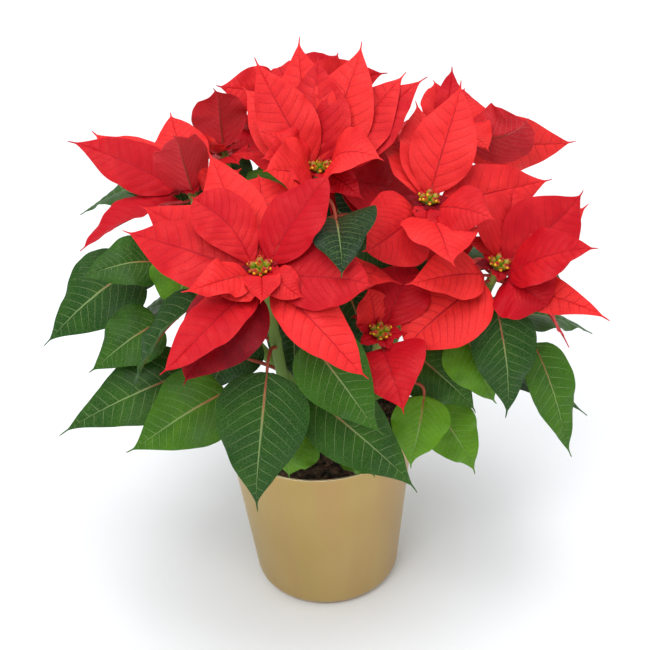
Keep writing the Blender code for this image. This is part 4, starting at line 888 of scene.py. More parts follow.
def blade_solid(blade, margin=0.0, with_stalk=True):
    """Vertices and triangles of the blade as a thin closed solid, thicker and wider by margin."""
    lamina_rows = LAMINA_ROWS[blade.rows]
    stalk_rows = (1 if blade.stalk_pull is None else 3) * with_stalk
    if with_stalk or blade.rows != "large":
        stalk_rows += 1
    t = np.concatenate([[0.0]] + [np.full(columns, place) for place, columns in lamina_rows])
    v = np.concatenate([[0.0]] + [np.linspace(-1, 1, n) if n > 1 else np.zeros(1) for _, n in lamina_rows])
    lamina = blade_points(blade, t, v, margin)[1:]
    _, across, _ = midrib(blade, np.zeros(1))
    side = across[0] * (STALK_HALF_WIDTH + margin)
    middles = [blade.neck[None]] if stalk_rows else []
    if with_stalk:
        middles.insert(0, stalk_points(blade, stalk_rows - 1))
    stalk = [p + way * side for group in middles for p in group for way in (-1, 1)]
    points = np.vstack([np.array(stalk).reshape(-1, 3), lamina])
    halves = np.full(len(points), blade.thickness / 2)
    halves[:len(stalk)] = STALK_THICKNESS / 2
    sheet, faces = sheet_pattern(stalk_rows, lamina_rows)
    corners = points[sheet]
    face_normals = crossed(corners[:, 1] - corners[:, 0], corners[:, 2] - corners[:, 0])
    normals = np.zeros_like(points)
    for k in range(3):
        np.add.at(normals, sheet[:, k], face_normals)
    offset = rows_to_unit(normals) * (halves + margin)[:, None]
    return np.vstack([points + offset, points - offset]), faces


def closed_sheet(triangles, count):
    """Faces of a solid whose upper sheet has these triangles and whose lower points follow count later."""
    edges = {(a, b) for tri in triangles for a, b in zip(tri, tri[1:] + tri[:1])}
    faces = list(triangles) + [tuple(i + count for i in reversed(tri)) for tri in triangles]
    for a, b in sorted(edges):
        if (b, a) not in edges:
            faces += [(b, a, a + count), (b, a + count, b + count)]
    return [tuple(int(i) for i in face) for face in faces]


def bezier(a, b, c, d, count):
    """Points of a curve from a to d that leaves towards b and arrives from c."""
    s = np.linspace(0, 1, count)[:, None]
    return a * (1 - s)**3 + 3 * b * s * (1 - s)**2 + 3 * c * s**2 * (1 - s) + d * s**3


class Head:
    """Where one flower head is: its middle, its axis and the path of its stem from the trunk."""

    def __init__(self, number, middle, leaves_trunk_at):
        self.number = number
        self.middle = middle
        outward = np.array([middle[0], middle[1], 0.0])
        distance = np.linalg.norm(outward)
        tilt = math.radians(TILT_PER_MM * distance)
        self.outward = outward / distance
        self.axis = unit(np.array(UP) * math.cos(tilt) + self.outward * math.sin(tilt))
        self.stem_end = middle - self.axis * (HUB_LENGTH + TOUCH_GAP)
        if leaves_trunk_at is None:
            start = np.array([0.0, 0.0, TRUNK_TOP + TOUCH_GAP])
            self.stem_start_direction = np.array(UP)
        else:
            start = self.outward * (TRUNK_RADIUS + STEM_OFF_TRUNK) + np.array([0, 0, leaves_trunk_at])
            self.stem_start_direction = self.outward
        pull = STEM_PULL * np.linalg.norm(self.stem_end - start)
        first_pull = start + unit(self.stem_start_direction + np.array(UP) * STEM_START_RISE) * pull
        self.bends = (start, first_pull, self.stem_end - self.axis * pull, self.stem_end)
        self.path = bezier(*self.bends, STEM_SPANS + 1)

    def points_at(self, shares):
        """Points on the stem at shares of its way from the trunk."""
        stations = np.linspace(0, 1, len(self.path))
        return np.stack([np.interp(shares, stations, self.path[:, k]) for k in range(3)], axis=-1)


def head_blades(head, table):
    """The bracts of one head, innermost first, with their stalks leaving the hub in a rising order."""
    blades = []
    for k, entry in enumerate(table):
        entry = dict(entry)
        tip = reached_at(*entry.pop("tip"), head.middle, entry.pop("reach"), entry.pop("side"))
        depth_on_hub = HUB_TOP_BARE + (HUB_LENGTH - 2 * HUB_TOP_BARE) * k / max(len(table) - 1, 1)
        blades.append(bract_to(head, tip, depth_on_hub, phase=1.3 * k + head.number, **entry))
    return blades


def bract_to(head, tip, depth_on_hub, width, face=FRONT_UP, **shape):
    """A bract whose stalk leaves the hub at depth_on_hub under its top and whose tip is at tip."""
    root = head.middle - head.axis * depth_on_hub
    away = tip - root
    sideways = away - (away @ head.axis) * head.axis
    slope = np.clip((away @ head.axis) / max(np.linalg.norm(sideways), 1.0), *BRACT_STALK_SLOPES)
    leaving = unit(unit(sideways) + slope * head.axis)
    neck = root + leaving * (BRACT_STALK if width > SMALL_WIDTH else SMALL_STALK_SHARE * BRACT_STALK)
    shape = {"rows": rows_for(width), **shape}
    return Blade(root, neck, tip, width, face, **shape)


def rows_for(width):
    """Which rows of points a blade of this width has."""
    return "large" if width > MEDIUM_WIDTH else "medium" if width > SMALL_WIDTH else "small"


def leaf_on(head, neck, tip, width, face=None, **shape):
    """A leaf whose stalk curves from the head's stem, at about STALK_LENGTH, to the blade's neck."""
    places = head.points_at(np.linspace(*LEAF_SPAN_OF_STEM, 40))
    distances = np.linalg.norm(places - neck, axis=1)
    root = places[np.argmin(np.abs(distances - STALK_LENGTH))]
    if face is None:
        face = unit((tip - root) * (1, 1, 0)) * LEAF_FACE_OUT + UP
    pull = unit(unit(neck - root) + np.array(UP) * LEAF_STALK_RISE)
    shape = {"rows": rows_for(width), **LEAF_SHAPE, **shape}
    return Blade(root, neck, tip, width, face, stalk_pull=pull, thickness=LEAF_THICKNESS, **shape)


def back_bracts(head, blades, draw):
    """Drooping bracts that fill the free headings at the back of a head."""
    taken = []
    for blade in blades:
        away = blade.tip - head.middle
        if np.linalg.norm(away) > LONG_BRACT:
            taken.append(math.degrees(math.atan2(away[1], away[0])) % 360)
    added = []
    for heading in BACK_BRACT_HEADINGS:
        heading += draw.uniform(-BACK_BRACT_SWAY, BACK_BRACT_SWAY)
        if all(abs((heading - t + 180) % 360 - 180) > BACK_BRACT_ROOM for t in taken):
            length = draw.uniform(*BACK_BRACT_LENGTHS)
            tip = head.middle + direction(heading, draw.uniform(*BACK_BRACT_DROOPS)) * length
            root = draw.uniform(*BACK_BRACT_ROOTS)
            width = draw.uniform(*BACK_BRACT_WIDTHS)
            face = direction(heading, 0) * BACK_BRACT_FACE_OUT + UP
            added.append(bract_to(head, tip, root, width, face, rows="medium", phase=draw.uniform(0, 6)))
    return added


def back_leaves(heads, draw):
    """Hanging leaves at the back of the plant, as (head number, blade)."""
    leaves = []
    for number, headings in BACK_LEAVES.items():
        head = heads[number - 1]
        for k, heading in enumerate(headings):
            root = head.points_at(BACK_LEAF_LOWEST + BACK_LEAF_STEP * k)
            neck = root + direction(heading, BACK_LEAF_STALK_RISE) * STALK_LENGTH
            length = draw.uniform(*BACK_LEAF_LENGTHS)
            swayed = heading + draw.uniform(-BACK_LEAF_SWAY, BACK_LEAF_SWAY)
            tip = neck + direction(swayed, draw.uniform(*BACK_LEAF_DROOPS)) * length
            leaf = leaf_on(head, neck, tip, draw.uniform(*BACK_LEAF_WIDTHS), rows="medium",
                           phase=draw.uniform(0, 6))
            leaves.append((number, leaf))
    return leaves


class Clearance:
    """What already stands, against which each next blade is tried."""

    def __init__(self):
        self.things, self.lows, self.highs = [], [], []

    def add(self, node, solid, lamina=None):
        vertices, faces = solid
        tree = BVHTree.FromPolygons(vertices.tolist(), faces)
        lamina_tree = BVHTree.FromPolygons(lamina[0].tolist(), lamina[1]) if lamina else None
        self.things.append((node, tree, lamina_tree))
        self.lows.append(vertices.min(0))
        self.highs.append(vertices.max(0))

    def near(self, solid):
        low, high = solid[0].min(0), solid[0].max(0)
        apart = (low > np.array(self.highs)).any(1) | (high < np.array(self.lows)).any(1)
        return [self.things[k] for k in np.nonzero(~apart)[0]]

    def meets_others(self, node, blade):
        """Whether the blade comes too near another node. It may come nearer to its head's stem and cups."""
        wide = blade_solid(blade, CLEAR_OF_OTHERS)
        kin = node.split("_")[-1]
        wide_tree = slim_tree = None
        for other, tree, lamina_tree in self.near(wide):
            if other == node:
                continue
            if other.split("_")[-1] == kin and lamina_tree is None:
                if slim_tree is None:
                    slim = blade_solid(blade, CLEAR_OF_OWN)
                    slim_tree = BVHTree.FromPolygons(slim[0].tolist(), slim[1])
                if slim_tree.overlap(tree):
                    return True
            else:
                if wide_tree is None:
                    wide_tree = BVHTree.FromPolygons(wide[0].tolist(), wide[1])
                if wide_tree.overlap(tree):
                    return True
        return False

    def meets_own(self, node, blade):
        """How many pieces of its own node the flat part of the blade comes too near."""
        lamina = blade_solid(blade, CLEAR_OF_OWN, with_stalk=False)
        tree = BVHTree.FromPolygons(lamina[0].tolist(), lamina[1])
        return sum(1 for other, whole, flat in self.near(lamina)
                   if other == node and tree.overlap(flat or whole))

    def place(self, node, bends, must_stay):
        """The first of a blade's bends that stands clear, or None where none does.

        One that must stay may cross pieces of its own node, into which it then grows.
        """
        crossing = None
        for tried, bent in enumerate(bends):
            if crossing and tried > ENOUGH_TRIES:
                break
            if self.meets_others(node, bent):
                continue
            count = self.meets_own(node, bent)
            if count == 0:
                return self.keep(node, bent)
            if crossing is None or count < crossing[0]:
                crossing = (count, bent)
        if must_stay and crossing:
            return self.keep(node, crossing[1])
        return None

    def keep(self, node, blade):
        self.add(node, blade_solid(blade), blade_solid(blade, with_stalk=False))
        return blade


def bends_in_view(blade):
    """Ever stronger bends of a blade that keep it where the picture shows it."""
    choices = [(depth, swing, roll) for depth in SLIDES for swing in SWINGS for roll in ROLLS]
    choices.sort(key=lambda c: (c[0] / SLIDE_UNIT)**2 + (c[1] / SWING_UNIT)**2 + (c[2] / ROLL_UNIT)**2)
    for length in LENGTHS:
        for depth, swing, roll in choices:
            bent = blade.slid(depth, swing, roll)
            bent.tip = bent.neck + (bent.tip - bent.neck) * length
            yield bent


def bends_about_root(blade, up):
    """Ever stronger bends of a blade about its root."""
    away = unit(blade.tip - blade.root)
    raising = unit(crossed(away, up))
    swinging = unit(crossed(raising, away))
    choices = [(raised, swung) for raised in TURNS for swung in TURNS]
    choices.sort(key=lambda c: c[0]**2 + c[1]**2)
    for raised, swung in choices:
        yield blade.turned(turn(raising, raised) @ turn(swinging, swung))


def stem_solid(head):
    """The head's green stem from the trunk up to the lowest bract."""
    radii = np.linspace(STEM_FOOT_RADIUS, STEM_END_RADIUS, len(head.path))
    return tube(head.path, radii, STEM_SIDES, head.stem_start_direction)


def hub_solid(head):
    """The last stretch of the head's stem, from which its bracts grow."""
    return tube([head.middle - head.axis * HUB_LENGTH, head.middle], [HUB_RADIUS] * 2, STEM_SIDES)


def trunk_solid():
    """The woody foot of the plant, upright in the soil."""
    middles = [(0.0, 0.0, z) for z in np.linspace(TRUNK_FOOT, TRUNK_TOP, TRUNK_SPANS + 1)]
    return tube(middles, [TRUNK_RADIUS] * len(middles), TRUNK_SIDES)


def in_the_way(heads):
    """Plain solids for what the blades keep clear of from the start, as (node, solid)."""
    pot = tube([(0.0, 0.0, 0.0), (0.0, 0.0, POT_HEIGHT)], [POT_FOOT_RADIUS, POT_RIM_RADIUS], POT_SEGMENTS)
    found = [("pot", pot), ("main_stem", trunk_solid())]
    for head in heads:
        low = head.middle + head.axis * TOUCH_GAP
        cups = tube([low, low + head.axis * CYATHIA_HEIGHT], CYATHIA_RADII, CYATHIA_SIDES)
        found += [(f"stem_{head.number}", stem_solid(head)), (f"bracts_{head.number}", hub_solid(head)),
                  (f"cyathia_{head.number}", cups)]
    return found


def grow_plant():
    """The heads, and every blade as (name, kind, head, blade), bent clear of the others."""
    heads = [Head(k + 1, seen_at(*entry["pixel"], entry["depth"]), entry["leaves_trunk_at"])
             for k, entry in enumerate(HEADS.values())]
    standing = Clearance()
    for node, solid in in_the_way(heads):
        standing.add(node, solid)
    blades = []

    def grow(name, kind, head, blade, in_picture):
        bends = bends_in_view(blade) if in_picture else bends_about_root(blade, head.axis)
        placed = standing.place(f"{kind}_{head.number}", bends, in_picture)
        if placed is not None:
            blades.append((name, kind, head, placed))

    def grow_leaves(first):
        for k, entry in enumerate(LEAVES):
            entry = dict(entry)
            if entry.pop("first", False) != first:
                continue
            head = heads[entry.pop("stem") - 1]
            depths = entry.pop("depths")
            neck = seen_at(*entry.pop("neck"), depths[0])
            tip = seen_at(*entry.pop("tip"), depths[1])
            grow(f"leaf {k + 1}", "stem", head, leaf_on(head, neck, tip, phase=1.1 * k, **entry), True)

    grow_leaves(True)
    shown = {}
    for head, entry in zip(heads, HEADS.values()):
        shown[head.number] = head_blades(head, entry["bracts"])
        for letter, blade in zip(ascii_lowercase, shown[head.number]):
            grow(f"{head.number}{letter}", "bracts", head, blade, True)
    grow_leaves(False)
    draw = random.Random(BACK_SEED)
    for head in heads:
        if head.middle[1] < FRONT_HEADS_DEPTH:
            continue
        for blade in back_bracts(head, shown[head.number], draw):
            grow("back bract", "bracts", head, blade, False)
    for number, blade in back_leaves(heads, draw):
        grow("back leaf", "stem", heads[number - 1], blade, False)
    return heads, blades


# The fine blades: rows that stand a little closer towards the tip, and a thin edge.
FINE_ROWS = 44
FINE_COLUMNS = 21
FIRST_ROW = 0.002
ROWS_SPAN = 0.985
ROWS_EASE = 0.25
EDGE_THICKNESS = 0.35
BODY_WIDTH_SHARE = 0.25

# The side veins: how they slant and curve forward, and how the two halves and the wave along them differ.
VEIN_SLANT = 0.4
VEIN_CURVE = 1.5
VEIN_STAGGER = 0.25
VEIN_SWAY = 0.08
VEIN_SWAYS = 7

# What the fine blades add to the plain form in millimetres: the pillows between the side veins, the groove
# over the midrib, the flutter of the edge, and wide and small dents.
QUILT = 0.8
LEAF_QUILT = 0.5
YOUNG_QUILT = 0.2
QUILT_SHAPE = 0.8
QUILT_MEAN = 0.6
QUILT_FROM_MIDRIB = 0.12
QUILT_FROM_EDGE = 0.22
GROOVE = 0.5
GROOVE_WIDTH = 0.09
FLUTTER = 0.5
FLUTTER_WAVES = (4.1, 7.3)
SWELL = 1.3
SWELL_GRAIN = 0.045
CRUMPLE = 0.6
CRUMPLE_GRAIN = 0.14

# The stalks and the midribs that they run on as, half sunk in the underside.
FINE_STALK_ROWS = 12
FINE_STALK_SIDES = 8
FINE_STALK_RADII = (1.35, 1.05)
RIB_ROWS = 14
RIB_END = 0.72
RIB_RADII = (1.0, 0.15)
RIB_DEPTH = 0.35
RIB_SINK_SHARE = 0.1

# The values of leaf_map away from every vein, and of leaf_kind on stalks, midribs and stems. leaf_kind
# holds the tone, whether the side is the lower one, and a number that is 0 on a blade and 1 on a stem.
NO_VEINS = (0.5, 0.5, 0.5)
STALK_KIND = 0.5
RIB_KIND_FALL = 0.1
STEM_KIND = (0.5, 0.0, 1.0)


def fine_sheet(blade, seed, side_veins, quilt):
    """A fine sheet of the blade: points, the way out of its upper side, thickness and the map of its veins.

    The map holds, for each point, its place among the side veins, from edge to edge and from neck to tip.
    """
    even = np.linspace(0, 1, FINE_ROWS)
    rows = ROWS_SPAN * ((1 - ROWS_EASE) * even + ROWS_EASE * (1 - (1 - even)**2)) + FIRST_ROW
    t = np.repeat(rows, FINE_COLUMNS)
    v = np.tile(np.linspace(-1, 1, FINE_COLUMNS), FINE_ROWS)
    points = blade_points(blade, t, v)
    _, _, out = midrib(blade, t)
    side = np.where(v >= 0, 1, -1)
    length = np.linalg.norm(blade.tip - blade.neck)
    off = np.abs(v) * half_widths(blade, t) / length
    veins = side_veins * (t - VEIN_SLANT * off - VEIN_CURVE * off**2)
    veins += VEIN_STAGGER * side + VEIN_SWAY * np.sin(VEIN_SWAYS * t + seed)
    body = np.clip(half_widths(blade, t) / (BODY_WIDTH_SHARE * blade.width), 0, 1)
    inner = np.clip(np.abs(v) / QUILT_FROM_MIDRIB, 0, 1) * np.clip((1 - np.abs(v)) / QUILT_FROM_EDGE, 0, 1)
    lift = quilt * body * inner * (np.abs(np.sin(math.pi * veins))**QUILT_SHAPE - QUILT_MEAN)
    lift -= GROOVE * body * np.exp(-(v / GROOVE_WIDTH)**2)
    long_waves, short_waves = (2 * math.pi * waves * t for waves in FLUTTER_WAVES)
    flutter = np.sin(long_waves + seed * 2.3 + 1.9 * side) + 0.5 * np.sin(short_waves + seed)
    lift += FLUTTER * body * np.abs(v)**3 * flutter * np.sin(math.pi * t)
    swell = np.array([mathutils_noise.noise(SWELL_GRAIN * p) for p in points])
    crumple = np.array([mathutils_noise.noise(CRUMPLE_GRAIN * p) for p in points])
    lift += body * (SWELL * swell * np.abs(v) + CRUMPLE * crumple)
    thickness = EDGE_THICKNESS + (blade.thickness - EDGE_THICKNESS) * (1 - np.abs(v))
    return points + out * lift[:, None], out, thickness, np.stack([veins, v, t], axis=1)


def fine_faces():
    """Quads of a fine sheet's upper side, whose points run row after row."""
    index = np.arange(FINE_ROWS * FINE_COLUMNS).reshape(FINE_ROWS, FINE_COLUMNS)
    a, b, c, d = index[:-1, :-1], index[:-1, 1:], index[1:, 1:], index[1:, :-1]
    return np.stack([a, b, c, d], axis=-1).reshape(-1, 4)


def fine_rim():
    """The numbers of a fine sheet's points round its edge."""
    count = FINE_ROWS * FINE_COLUMNS
    return (list(range(FINE_COLUMNS))
            + [k * FINE_COLUMNS + FINE_COLUMNS - 1 for k in range(1, FINE_ROWS)]
            + [count - 2 - k for k in range(FINE_COLUMNS - 1)]
            + [k * FINE_COLUMNS for k in range(FINE_ROWS - 2, 0, -1)])


class Growth:
    """Points, faces and the two maps of one grown piece, gathered from its stems, stalks and blades."""

    def __init__(self):
        self.points, self.faces, self.maps, self.kinds = [], [], [], []
        self.count = 0

    def add(self, points, faces, leaf_map, leaf_kind):
        """Adds points and faces. leaf_map and leaf_kind are a row for each point, or one for them all."""
        self.points.append(np.asarray(points, float))
        self.faces += [tuple(int(i) + self.count for i in face) for face in faces]
        for held, given in ((self.maps, leaf_map), (self.kinds, leaf_kind)):
            held.append(np.broadcast_to(np.asarray(given, float), (len(points), 3)))
        self.count += len(points)

    def blade(self, blade, tone, seed, side_veins, quilt):
        """Adds a blade: its two sides, its edge, and its stalk that runs on as the midrib below."""
        sheet, out, thickness, leaf_map = fine_sheet(blade, seed, side_veins, quilt)
        grid = sheet.reshape(FINE_ROWS, FINE_COLUMNS, 3)
        normals = crossed(np.gradient(grid, axis=1), np.gradient(grid, axis=0)).reshape(-1, 3)
        normals = rows_to_unit(normals)
        normals *= np.where((normals * out).sum(axis=1) < 0, -1, 1)[:, None]
        upper = sheet + normals * thickness[:, None] / 2
        lower = sheet - normals * thickness[:, None] / 2
        count = len(sheet)
        top, rim = fine_faces(), fine_rim()
        edge = [(a, a + count, b + count, b) for a, b in zip(rim, rim[1:] + rim[:1])]
        faces = [tuple(f) for f in top] + [tuple(reversed([i + count for i in f])) for f in top] + edge
        kinds = np.zeros((2 * count, 3))
        kinds[:, 0] = tone
        kinds[count:, 1] = 1.0
        self.add(np.vstack([upper, lower]), faces, np.vstack([leaf_map, leaf_map]), kinds)
        self.stalk(blade, tone)

    def stalk(self, blade, tone):
        """Adds the stalk of a blade and the midrib that it becomes under the blade."""
        middles = stalk_points(blade, FINE_STALK_ROWS)
        share = np.linspace(0.0, RIB_END, RIB_ROWS)
        rib, _, out = midrib(blade, share)
        rib = rib - out * (RIB_DEPTH + GROOVE * np.minimum(share / RIB_SINK_SHARE, 1.0))[:, None]
        radii = [*np.linspace(*FINE_STALK_RADII, FINE_STALK_ROWS), *np.linspace(*RIB_RADII, RIB_ROWS)]
        points, faces = tube(np.vstack([middles, rib]), radii, FINE_STALK_SIDES)
        kinds = np.repeat([[tone, 0.0, STALK_KIND]], len(points), axis=0)
        kinds[FINE_STALK_ROWS * FINE_STALK_SIDES:, 2] -= RIB_KIND_FALL * np.repeat(share, FINE_STALK_SIDES)
        self.add(points, faces, NO_VEINS, kinds)

    def piece(self, name, paint):
        """The mesh object, with its maps as attributes."""
        made = mesh_piece(name, np.vstack(self.points), self.faces)
        for label, held in (("leaf_map", self.maps), ("leaf_kind", self.kinds)):
            attribute = made.data.attributes.new(label, "FLOAT_VECTOR", "POINT")
            attribute.data.foreach_set("vector", np.vstack(held).ravel())
        made.data.set_sharp_from_angle(angle=math.radians(60))
        made.data.materials.append(paint)
        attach(made, "root")
        return made


def attribute_parts(tree, label):
    """The three values of a vector attribute of the piece."""
    attribute = tree.nodes.new("ShaderNodeAttribute")
    attribute.attribute_name = label
    parts = tree.nodes.new("ShaderNodeSeparateXYZ")
    tree.links.new(attribute.outputs["Vector"], parts.inputs[0])
    return parts.outputs


def vein_group():
    """A node group that draws a blade's midrib, side veins and fine net, each from 0 to 1.

    Relief is the height between the veins, and Along the share of the way from the neck to the tip.
    """
    group = bpy.data.node_groups.new("blade_veins", "ShaderNodeTree")
    for label in ("Midrib", "Side veins", "Net", "Relief", "Along"):
        group.interface.new_socket(label, in_out="OUTPUT", socket_type="NodeSocketFloat")
    group.interface.new_socket("Vein width", in_out="INPUT", socket_type="NodeSocketFloat")
    vein_width = group.nodes.new("NodeGroupInput").outputs["Vein width"]
    veins, across, along = attribute_parts(group, "leaf_map")
    out_of_middle = calculated(group, "ABSOLUTE", across)
    from_vein = calculated(group, "PINGPONG", veins, 0.5)
    narrowing = calculated(group, "MULTIPLY_ADD", out_of_middle, -0.65, 1.0)
    width = calculated(group, "MULTIPLY", vein_width, narrowing)
    side_veins = between(group, from_vein, 0.0, width, 1.0, 0.0)
    fading = between(group, out_of_middle, 0.7, 1.0, 1.0, 0.25)
    side_veins = calculated(group, "MULTIPLY", side_veins, fading)
    rib_width = calculated(group, "MULTIPLY_ADD", along, -0.03, 0.05)
    midrib_line = between(group, out_of_middle, 0.012, rib_width, 1.0, 0.0)
    place = group.nodes.new("ShaderNodeTexCoord").outputs["Object"]
    cells = group.nodes.new("ShaderNodeTexVoronoi")
    cells.feature = "DISTANCE_TO_EDGE"
    cells.inputs["Scale"].default_value = 480.0
    group.links.new(place, cells.inputs["Vector"])
    net = between(group, cells.outputs["Distance"], 0.0, 0.11, 1.0, 0.0)
    grooves = calculated(group, "MAXIMUM", midrib_line, calculated(group, "MULTIPLY", side_veins, 0.7))
    grooves = calculated(group, "MAXIMUM", grooves, calculated(group, "MULTIPLY", net, 0.35))
    relief = calculated(group, "SUBTRACT", 1.0, grooves)
    ends = group.nodes.new("NodeGroupOutput")
    for label, value in (("Midrib", midrib_line), ("Side veins", side_veins), ("Net", net),
                         ("Relief", relief), ("Along", along)):
        group.links.new(value, ends.inputs[label])
    return group


BLADE_VEINS = vein_group()


def veins_of(tree, vein_width):
    """The vein group's outputs in a material. vein_width is a share of the way between two side veins."""
    node = tree.nodes.new("ShaderNodeGroup")
    node.node_tree = BLADE_VEINS
    node.inputs["Vein width"].default_value = vein_width
    return node.outputs


def vein_lines(tree, veins, midrib_share, side_share, net_share):
    """The veins as one mask, each kind at its own share."""
    lines = calculated(tree, "MAXIMUM", calculated(tree, "MULTIPLY", veins["Midrib"], midrib_share),
                       calculated(tree, "MULTIPLY", veins["Side veins"], side_share))
    return calculated(tree, "MAXIMUM", lines, calculated(tree, "MULTIPLY", veins["Net"], net_share))


# From the deepest green, which mostly paints shade, to the freshest green, which partly paints light, the
# veins and their reddish base, and the underside and its veins.
LEAF_GREENS = ((0.004, 0.020, 0.007), (0.009, 0.052, 0.004), (0.032, 0.115, 0.003), (0.100, 0.260, 0.002))
PALE_VEIN = (0.32, 0.44, 0.17)
REDDISH_VEIN = (0.42, 0.10, 0.045)
LEAF_BELOW = ((0.085, 0.180, 0.050), (0.20, 0.31, 0.11))
REDDISH_STALK = (0.34, 0.075, 0.040)
STEM_GREEN = (0.150, 0.250, 0.045)


def leaf_paint():
    """Green leaves: tone 0 is dark and 1 is fresh yellow green, and some tones paint shade and light.
    Undersides are paler, stalks reddish.
    """
    made, tree, shader = new_material("poinsettia_leaf", 0.46)
    tone, under, stalk = attribute_parts(tree, "leaf_kind")
    veins = veins_of(tree, 0.07)
    clouds = noise(tree, 55.0, 3.0)
    blend = calculated(tree, "ADD", tone, calculated(tree, "MULTIPLY_ADD", clouds, 0.5, -0.25))
    green = LEAF_GREENS[0]
    for fresher, start in zip(LEAF_GREENS[1:], (-0.5, 0.0, 0.5)):
        green = mixed(tree, between(tree, blend, start, start + 0.5), green, fresher)
    light = mixed(tree, 0.6, green, PALE_VEIN)
    near_neck = between(tree, veins["Along"], 0.05, 0.45, 0.85, 0.0)
    light = mixed(tree, calculated(tree, "MULTIPLY", veins["Midrib"], near_neck), light, REDDISH_VEIN)
    lines = vein_lines(tree, veins, 1.0, 0.7, 0.16)
    green = mixed(tree, lines, green, light)
    below = mixed(tree, calculated(tree, "MULTIPLY", lines, 0.7), *LEAF_BELOW)
    green = mixed(tree, under, green, below)
    green = mixed(tree, between(tree, stalk, 0.1, 0.35), green, REDDISH_STALK)
    green = mixed(tree, between(tree, stalk, 0.6, 0.95), green, STEM_GREEN)
    tree.links.new(green, shader.inputs["Base Color"])
    tree.links.new(between(tree, clouds, 0.3, 0.7, 0.40, 0.54), shader.inputs["Roughness"])
    shader.inputs["Specular IOR Level"].default_value = 0.16
    bumped(tree, shader, veins["Relief"], 0.00025, 0.7)
    return made


# The tones of leaves by their place in the table of leaves, and the range for all the others. The range is
# the leaves' own variety of green; the tones below 0 given here paint shade on leaves that stand in it, and
# the brightest given here partly paint light shining through lit leaves.
LEAF_TONES_LIGHT_AND_SHADE = {
    1: 0.1, 2: 0.2, 3: 0.8, 7: 0.6, 8: 0.15, 12: 0.8, 14: 0.6, 15: 0.85, 16: 0.9, 17: -0.4, 18: 0.8,
    19: 0.7, 21: -0.1, 22: -0.1, 24: -0.1,
}
LEAF_TONE_RANGE = (0.0, 0.38)
LEAF_SIDE_VEINS = 13

# The folded leaf is slimmer than its plain form, so that its edge stays behind the bract that covers it,
# and one more leaf stands deep behind it, painted dark as the shade in the gap that it fills.
SLIMMED_LEAVES = {17: 0.87}
SHADE_GAP_LEAF = dict(neck=seen_at(322, 194, 14), tip=seen_at(374, 250, 6), width=46, face=(0, -1, 0.6))
SHADE_GAP_LEAF_STEM = 2
SHADE_GAP_LEAF_TONE = -0.3

STEM_FINE_ROWS = 46
STEM_FINE_SIDES = 18
STEM_TRIM = 0.15
SCAR_HEIGHT = 0.45
FIRST_SCAR = 7
SCAR_STEP = 9
BLADE_SEED = 23
MOST_VEIN_SHIFT = 20


def stem_points(head):
    """The head's stem with slightly raised scars of fallen leaves."""
    path = bezier(*head.bends, STEM_FINE_ROWS)
    radii = np.linspace(STEM_FOOT_RADIUS, STEM_END_RADIUS, len(path)) - STEM_TRIM
    radii[FIRST_SCAR::SCAR_STEP] += SCAR_HEIGHT
    return tube(path, radii, STEM_FINE_SIDES, head.stem_start_direction)


heads, blades = grow_plant()
draw = random.Random(BLADE_SEED)
green_paint = leaf_paint()
leafy_stems = {head.number: Growth() for head in heads}
for head in heads:
    leafy_stems[head.number].add(*stem_points(head), NO_VEINS, STEM_KIND)
for name, kind, head, blade in blades:
    if kind == "stem":
        number = int(name.split()[1]) if name.startswith("leaf") else 0
        tone = LEAF_TONES_LIGHT_AND_SHADE.get(number, draw.uniform(*LEAF_TONE_RANGE))
        blade.width *= SLIMMED_LEAVES.get(number, 1.0)
        shift = draw.uniform(0, MOST_VEIN_SHIFT)
        leafy_stems[head.number].blade(blade, tone, shift, LEAF_SIDE_VEINS, LEAF_QUILT)
shade_gap_leaf = leaf_on(heads[SHADE_GAP_LEAF_STEM - 1], **SHADE_GAP_LEAF)
leafy_stems[SHADE_GAP_LEAF_STEM].blade(shade_gap_leaf, SHADE_GAP_LEAF_TONE, 0.0, LEAF_SIDE_VEINS, LEAF_QUILT)
for number, growth in leafy_stems.items():
    piece = growth.piece(f"leafy_stem_{number}", green_paint)
    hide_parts(f"stem_{number}")


# The nine heads of bracts: pointed red blades in a star round the end of each stem, the inner ones small.
# They grow from the stem's last stretch on short stalks, one above the other, with a ring of very young
# ones right under the cups.

BRACT_SIDE_VEINS = 11
# The tones of bracts by the number of the head and their letter in its table, and the range for the others.
# The range is their own variety of red; the darker tones given here paint the shade that those bracts stand
# in.
BRACT_TONES_AND_SHADE = {
    "1p": 1.1, "2m": 0.6, "2n": 0.75, "2p": 0.9, "5a": 0.6, "5e": 0.8, "7d": 0.6, "7e": 0.0, "8b": 0.5,
}
BRACT_TONE_RANGE = (0.0, 0.55)
HUB_FINE_ROWS = 14
YOUNG_BRACTS = 5
YOUNG_BRACT_DEPTH = 0.9
YOUNG_BRACT_LENGTHS = (15.0, 20.0)
YOUNG_BRACT_RISES = (0, 3)
YOUNG_BRACT_SHAPE = dict(width=12.0, arch=1.0, ripple=0.6)
YOUNG_BRACT_TONES = (0.7, 1.2)
YOUNG_BRACT_TURN = 25
YOUNG_SIDE_VEINS = 5
# From scarlet to deep crimson, whose darkest paints shade on some bracts, the veins, the underside and its
# veins, and the stalks and stem ends.
BRACT_REDS = ((0.79, 0.027, 0.026), (0.46, 0.002, 0.010), (0.13, 0.001, 0.006))
DARK_VEIN = (0.38, 0.003, 0.012)
BRACT_BELOW = ((0.68, 0.028, 0.042), (0.76, 0.15, 0.14))
BRACT_STALK_RED = (0.40, 0.05, 0.035)
STEM_END_GREEN = (0.21, 0.25, 0.05)


